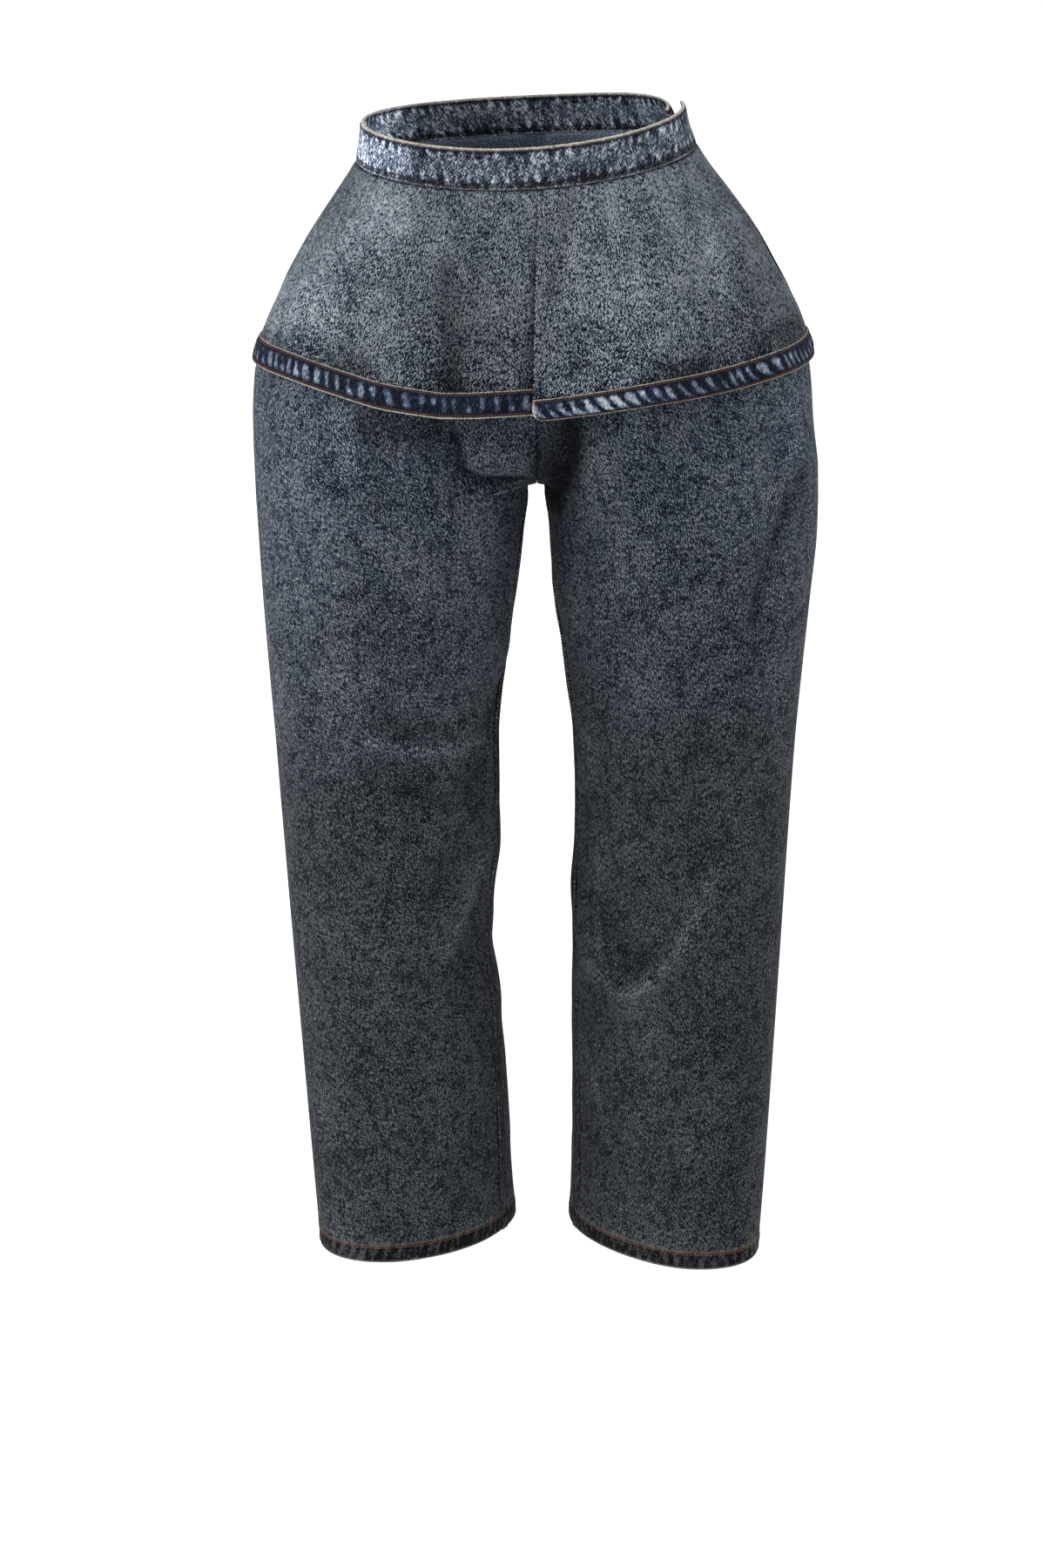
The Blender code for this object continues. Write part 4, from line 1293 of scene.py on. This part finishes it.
class StudioSettings(bpy.types.PropertyGroup):
    camera_pitch: FloatProperty(
        name="Camera pitch",
        description="How far the camera looks down",
        default=radians(13.6),
        subtype="ANGLE",
    )
    camera_distance: FloatProperty(
        name="Camera distance", description="From the camera to its target", default=3.268, unit="LENGTH"
    )
    camera_target: FloatVectorProperty(
        name="Camera target",
        description="What the camera looks at",
        default=(-0.0092, 0, -0.5516),
        subtype="XYZ",
    )
    floor_drop: FloatProperty(
        name="Floor drop", description="From the hems down to the floor", default=0.09, unit="LENGTH"
    )
    sky_strength: FloatProperty(name="Sky strength", description="Soft light from all round", default=0.4)
    key_strength: FloatProperty(
        name="Key strength", description="Main light, from the front left", default=3.6
    )
    fill_strength: FloatProperty(
        name="Fill strength", description="Second light, from the right", default=2.0
    )
    key_softness: FloatProperty(
        name="Softness", description="How wide the lights look", default=radians(35), subtype="ANGLE"
    )


Threads = namedtuple("Threads", "waist peplum inseam hem")


def denim_set(name, layers, colours):
    """The right and the wrong side of one denim."""
    material = bpy.data.materials.get(name) or make_denim(name, layers, colours)
    reverse_name = "denim_wrong_side"
    reverse = bpy.data.materials.get(reverse_name) or make_reverse(reverse_name, colours)
    return [material, reverse]


def thread_set(colours):
    """The four threads of the garment."""
    wanted = {
        "waist": colours.waist_thread,
        "peplum": colours.peplum_thread,
        "inseam": colours.inseam_thread,
        "hem": colours.hem_thread,
    }
    made = {}
    for use, colour in wanted.items():
        name = f"spun_polyester_thread_{use}"
        made[use] = bpy.data.materials.get(name) or make_thread(name, colour)
    return Threads(**made)


class TROUSERS_OT_waistband(bpy.types.Operator):
    """Makes the front and back waistband with their stitching"""

    bl_idname = "trousers.waistband"
    bl_label = "Make Waistband"

    def execute(self, context):
        colours, sizes = context.scene.trouser_colours, context.scene.trouser_sizes
        materials = denim_set("stone_washed_denim_waistband", BAND_WASH, colours)[:1]
        threads = thread_set(colours)
        make_waistband_piece("waistband_front", 180, 360 + WAISTBAND_LAP, False, materials, threads, sizes)
        make_waistband_piece("waistband_back", -WAISTBAND_TUCK, 180, True, materials, threads, sizes)
        return {"FINISHED"}


class TROUSERS_OT_peplum(bpy.types.Operator):
    """Makes the peplum's three panels and their hem bands"""

    bl_idname = "trousers.peplum"
    bl_label = "Make Peplum"

    def execute(self, context):
        colours, sizes = context.scene.trouser_colours, context.scene.trouser_sizes
        cloth = denim_set("stone_washed_twill_denim", WASH, colours)
        band_cloth = denim_set("roped_indigo_denim", HEM_WASH, colours)
        threads = thread_set(colours)

        def lap_edge(down):
            up = np.clip((1 - down) * PEPLUM_LENGTH / LAP_CORNER, 0, 1)
            return lap_angle(down, LAP_CORNER * (1 - np.sqrt(1 - (1 - up) ** 2)))

        def under_edge(down):
            opened = smooth((down - LAP_OPENS) / (LAP_FULL - LAP_OPENS))
            return lap_angle(down, mix(-SEAM_GAP, LAP_WIDTH, opened))

        panels = [
            ("front_right", lambda down: 180 + down * 0, under_edge, {"front_right": True}),
            ("front_left", lap_edge, lambda down: 360 + down * 0, {"front_left": True}),
            ("back", lambda down: 0 + down * 0, lambda down: 180 + down * 0, {}),
        ]
        for word, start, end, lap in panels:
            grid, normals, angle = peplum_face(start, end, **lap)
            along = np.radians(angle) * PEPLUM_RADIUS
            rise = run_along(grid[::-1], 0)[::-1]
            x, z = grid[..., 0], grid[..., 2]
            down = run_along(grid, 0)
            share = down / down[-1]
            from_start, length = run_along(grid, 1), run_along(grid, 1)[:, -1:]
            seams = 0 * x
            if word != "front_left":
                seams += bump(from_start, 1.2)
            if word != "front_right":
                seams += bump(length - from_start, 1.2)
            # A painted shadow lies on the right front beside the lap's edge
            shadow = 0 * x
            if word == "front_right":
                edge = np.radians(angle - lap_angle(share)) * PLEAT_RADIUS
                shadow = -1.5 * bump(edge, 3.5) * smooth((share - 0.15) / 0.2)
            patches = sum(16 * bump(x - at, 26) for at in BLOTCHES)
            unwashed = 5 + 8 * soft_noise(along, along * 0, 13, 52) + patches
            # The pleats' ridges are paler and their hollows darker, partly wear of the wash and partly
            # painted light and shade
            pleat_wear_and_shade = 0.012 * pleat_heights(angle, share, PLEATS)
            # Painted light and shade on the peplum's front, where the light falls on its folds and flanks
            washed = stroke_heights(x, z, PEPLUM_PAINTED_SHADING) * (word != "back")
            # The tone has a painted shadow along the top edge, under the waistband, and darker seams
            facts = {
                "tone": 0.5 - 0.6 * bump(down, 1.8) - 0.25 * seams + pleat_wear_and_shade,
                "shade": 2.0 ** (PEPLUM_STOPS + washed + shadow),
                "worn": 0.0,
                "streak": 0.5 * bump(down - 5, 7) + 0.35 * bump(rise - 26, 8),
                "indigo": (unwashed + PEPLUM_BAND_HEIGHT - rise) / 8,
                "grey": 0.0,
            }
            uv = np.stack([along, -down], axis=2)
            inner = grid - normals * CLOTH
            node = f"peplum_{word}"
            piece = make_shell(f"denim_{node}", grid, inner, uv, facts, cloth)
            finish_cloth(piece, node)
            ends = (word == "front_left", word == "front_right")
            make_peplum_band(f"peplum_band_{word}", grid, normals, band_cloth, threads, sizes, *ends)
        return {"FINISHED"}


class TROUSERS_OT_legs(bpy.types.Operator):
    """Makes the front and back panels of both legs"""

    bl_idname = "trousers.legs"
    bl_label = "Make Legs"

    def execute(self, context):
        colours, sizes = context.scene.trouser_colours, context.scene.trouser_sizes
        cloth = denim_set("stone_washed_twill_denim_legs", LEG_WASH, colours)
        threads = thread_set(colours)
        make_leg(RIGHT_LEG, -1, "right", cloth, threads, sizes)
        make_leg(LEFT_LEG, 1, "left", cloth, threads, sizes)
        return {"FINISHED"}


class TROUSERS_OT_studio(bpy.types.Operator):
    """Makes the camera, the lights and the floor"""

    bl_idname = "trousers.studio"
    bl_label = "Make Studio"

    def execute(self, context):
        scene, studio = context.scene, context.scene.trouser_studio
        target = Vector(studio.camera_target)
        camera = bpy.data.cameras.new("camera")
        camera.lens = CAMERA_LENS
        camera.sensor_width = CAMERA_SENSOR
        camera.clip_end = 100
        holder = bpy.data.objects.new("camera", camera)
        turn = Euler((radians(90) - studio.camera_pitch, 0, 0))
        holder.rotation_euler = turn
        back = Vector((0, -cos(studio.camera_pitch), sin(studio.camera_pitch)))
        holder.location = target + back * studio.camera_distance
        scene.collection.objects.link(holder)
        scene.camera = holder

        world = bpy.data.worlds.new("studio")
        world.use_nodes = True
        background = world.node_tree.nodes["Background"]
        background.inputs["Color"].default_value = (1, 1, 1, 1)
        background.inputs["Strength"].default_value = studio.sky_strength
        scene.world = world
        scene.view_settings.view_transform = "Standard"
        for name, towards, angle, strength in (
            ("key", (-0.9, -0.34, 0.46), studio.key_softness, studio.key_strength),
            ("fill", (0.9, -0.3, 0.36), studio.key_softness, studio.fill_strength),
        ):
            light = bpy.data.lights.new(name, "SUN")
            light.angle = angle
            light.energy = strength
            lamp = bpy.data.objects.new(name, light)
            lamp.rotation_euler = Vector(towards).to_track_quat("Z", "Y").to_euler()
            scene.collection.objects.link(lamp)

        level = CAD_BOX[0][2] - studio.floor_drop
        mesh = bpy.data.meshes.new("floor")
        corners = [(x * FLOOR_REACH, y * FLOOR_REACH, level) for x, y in ((-1, -1), (1, -1), (1, 1), (-1, 1))]
        mesh.from_pydata(corners, [], [(0, 1, 2, 3)])
        # Matt white acrylic with a little light of its own is a plain, even ground
        paint, _, shader = start_material("glowing_white_acrylic")
        shader.inputs["Base Color"].default_value = linear("#a0a0a0")
        shader.inputs["Roughness"].default_value = 0.9
        shader.inputs["Emission Color"].default_value = (1, 1, 1, 1)
        shader.inputs["Emission Strength"].default_value = FLOOR_GLOW
        mesh.materials.append(paint)
        floor = bpy.data.objects.new("floor", mesh)
        scene.collection.objects.link(floor)
        return {"FINISHED"}


class TROUSERS_PT_panel(bpy.types.Panel):
    """Lists the trousers' operators, sizes and colours"""

    bl_idname = "TROUSERS_PT_panel"
    bl_label = "Trousers"
    bl_space_type = "VIEW_3D"
    bl_region_type = "UI"
    bl_category = "Trousers"

    def draw(self, context):
        for operator in OPERATORS:
            self.layout.operator(operator.bl_idname)
        for group_name, group in GROUPS.items():
            box = self.layout.box()
            for name in group.__annotations__:
                box.prop(getattr(context.scene, group_name), name)


OPERATORS = (TROUSERS_OT_studio, TROUSERS_OT_waistband, TROUSERS_OT_peplum, TROUSERS_OT_legs)
GROUPS = {
    "trouser_sizes": TrouserSizes,
    "trouser_colours": TrouserColours,
    "trouser_studio": StudioSettings,
}


def register():
    for group in GROUPS.values():
        bpy.utils.register_class(group)
    for name, group in GROUPS.items():
        setattr(bpy.types.Scene, name, PointerProperty(type=group))
    for operator in OPERATORS:
        bpy.utils.register_class(operator)
    bpy.utils.register_class(TROUSERS_PT_panel)


def unregister():
    bpy.utils.unregister_class(TROUSERS_PT_panel)
    for operator in reversed(OPERATORS):
        bpy.utils.unregister_class(operator)
    for name, group in GROUPS.items():
        delattr(bpy.types.Scene, name)
        bpy.utils.unregister_class(group)


def main():
    register()
    bpy.ops.trousers.studio()
    bpy.ops.trousers.waistband()
    bpy.ops.trousers.peplum()
    bpy.ops.trousers.legs()


if __name__ == "__main__":
    main()
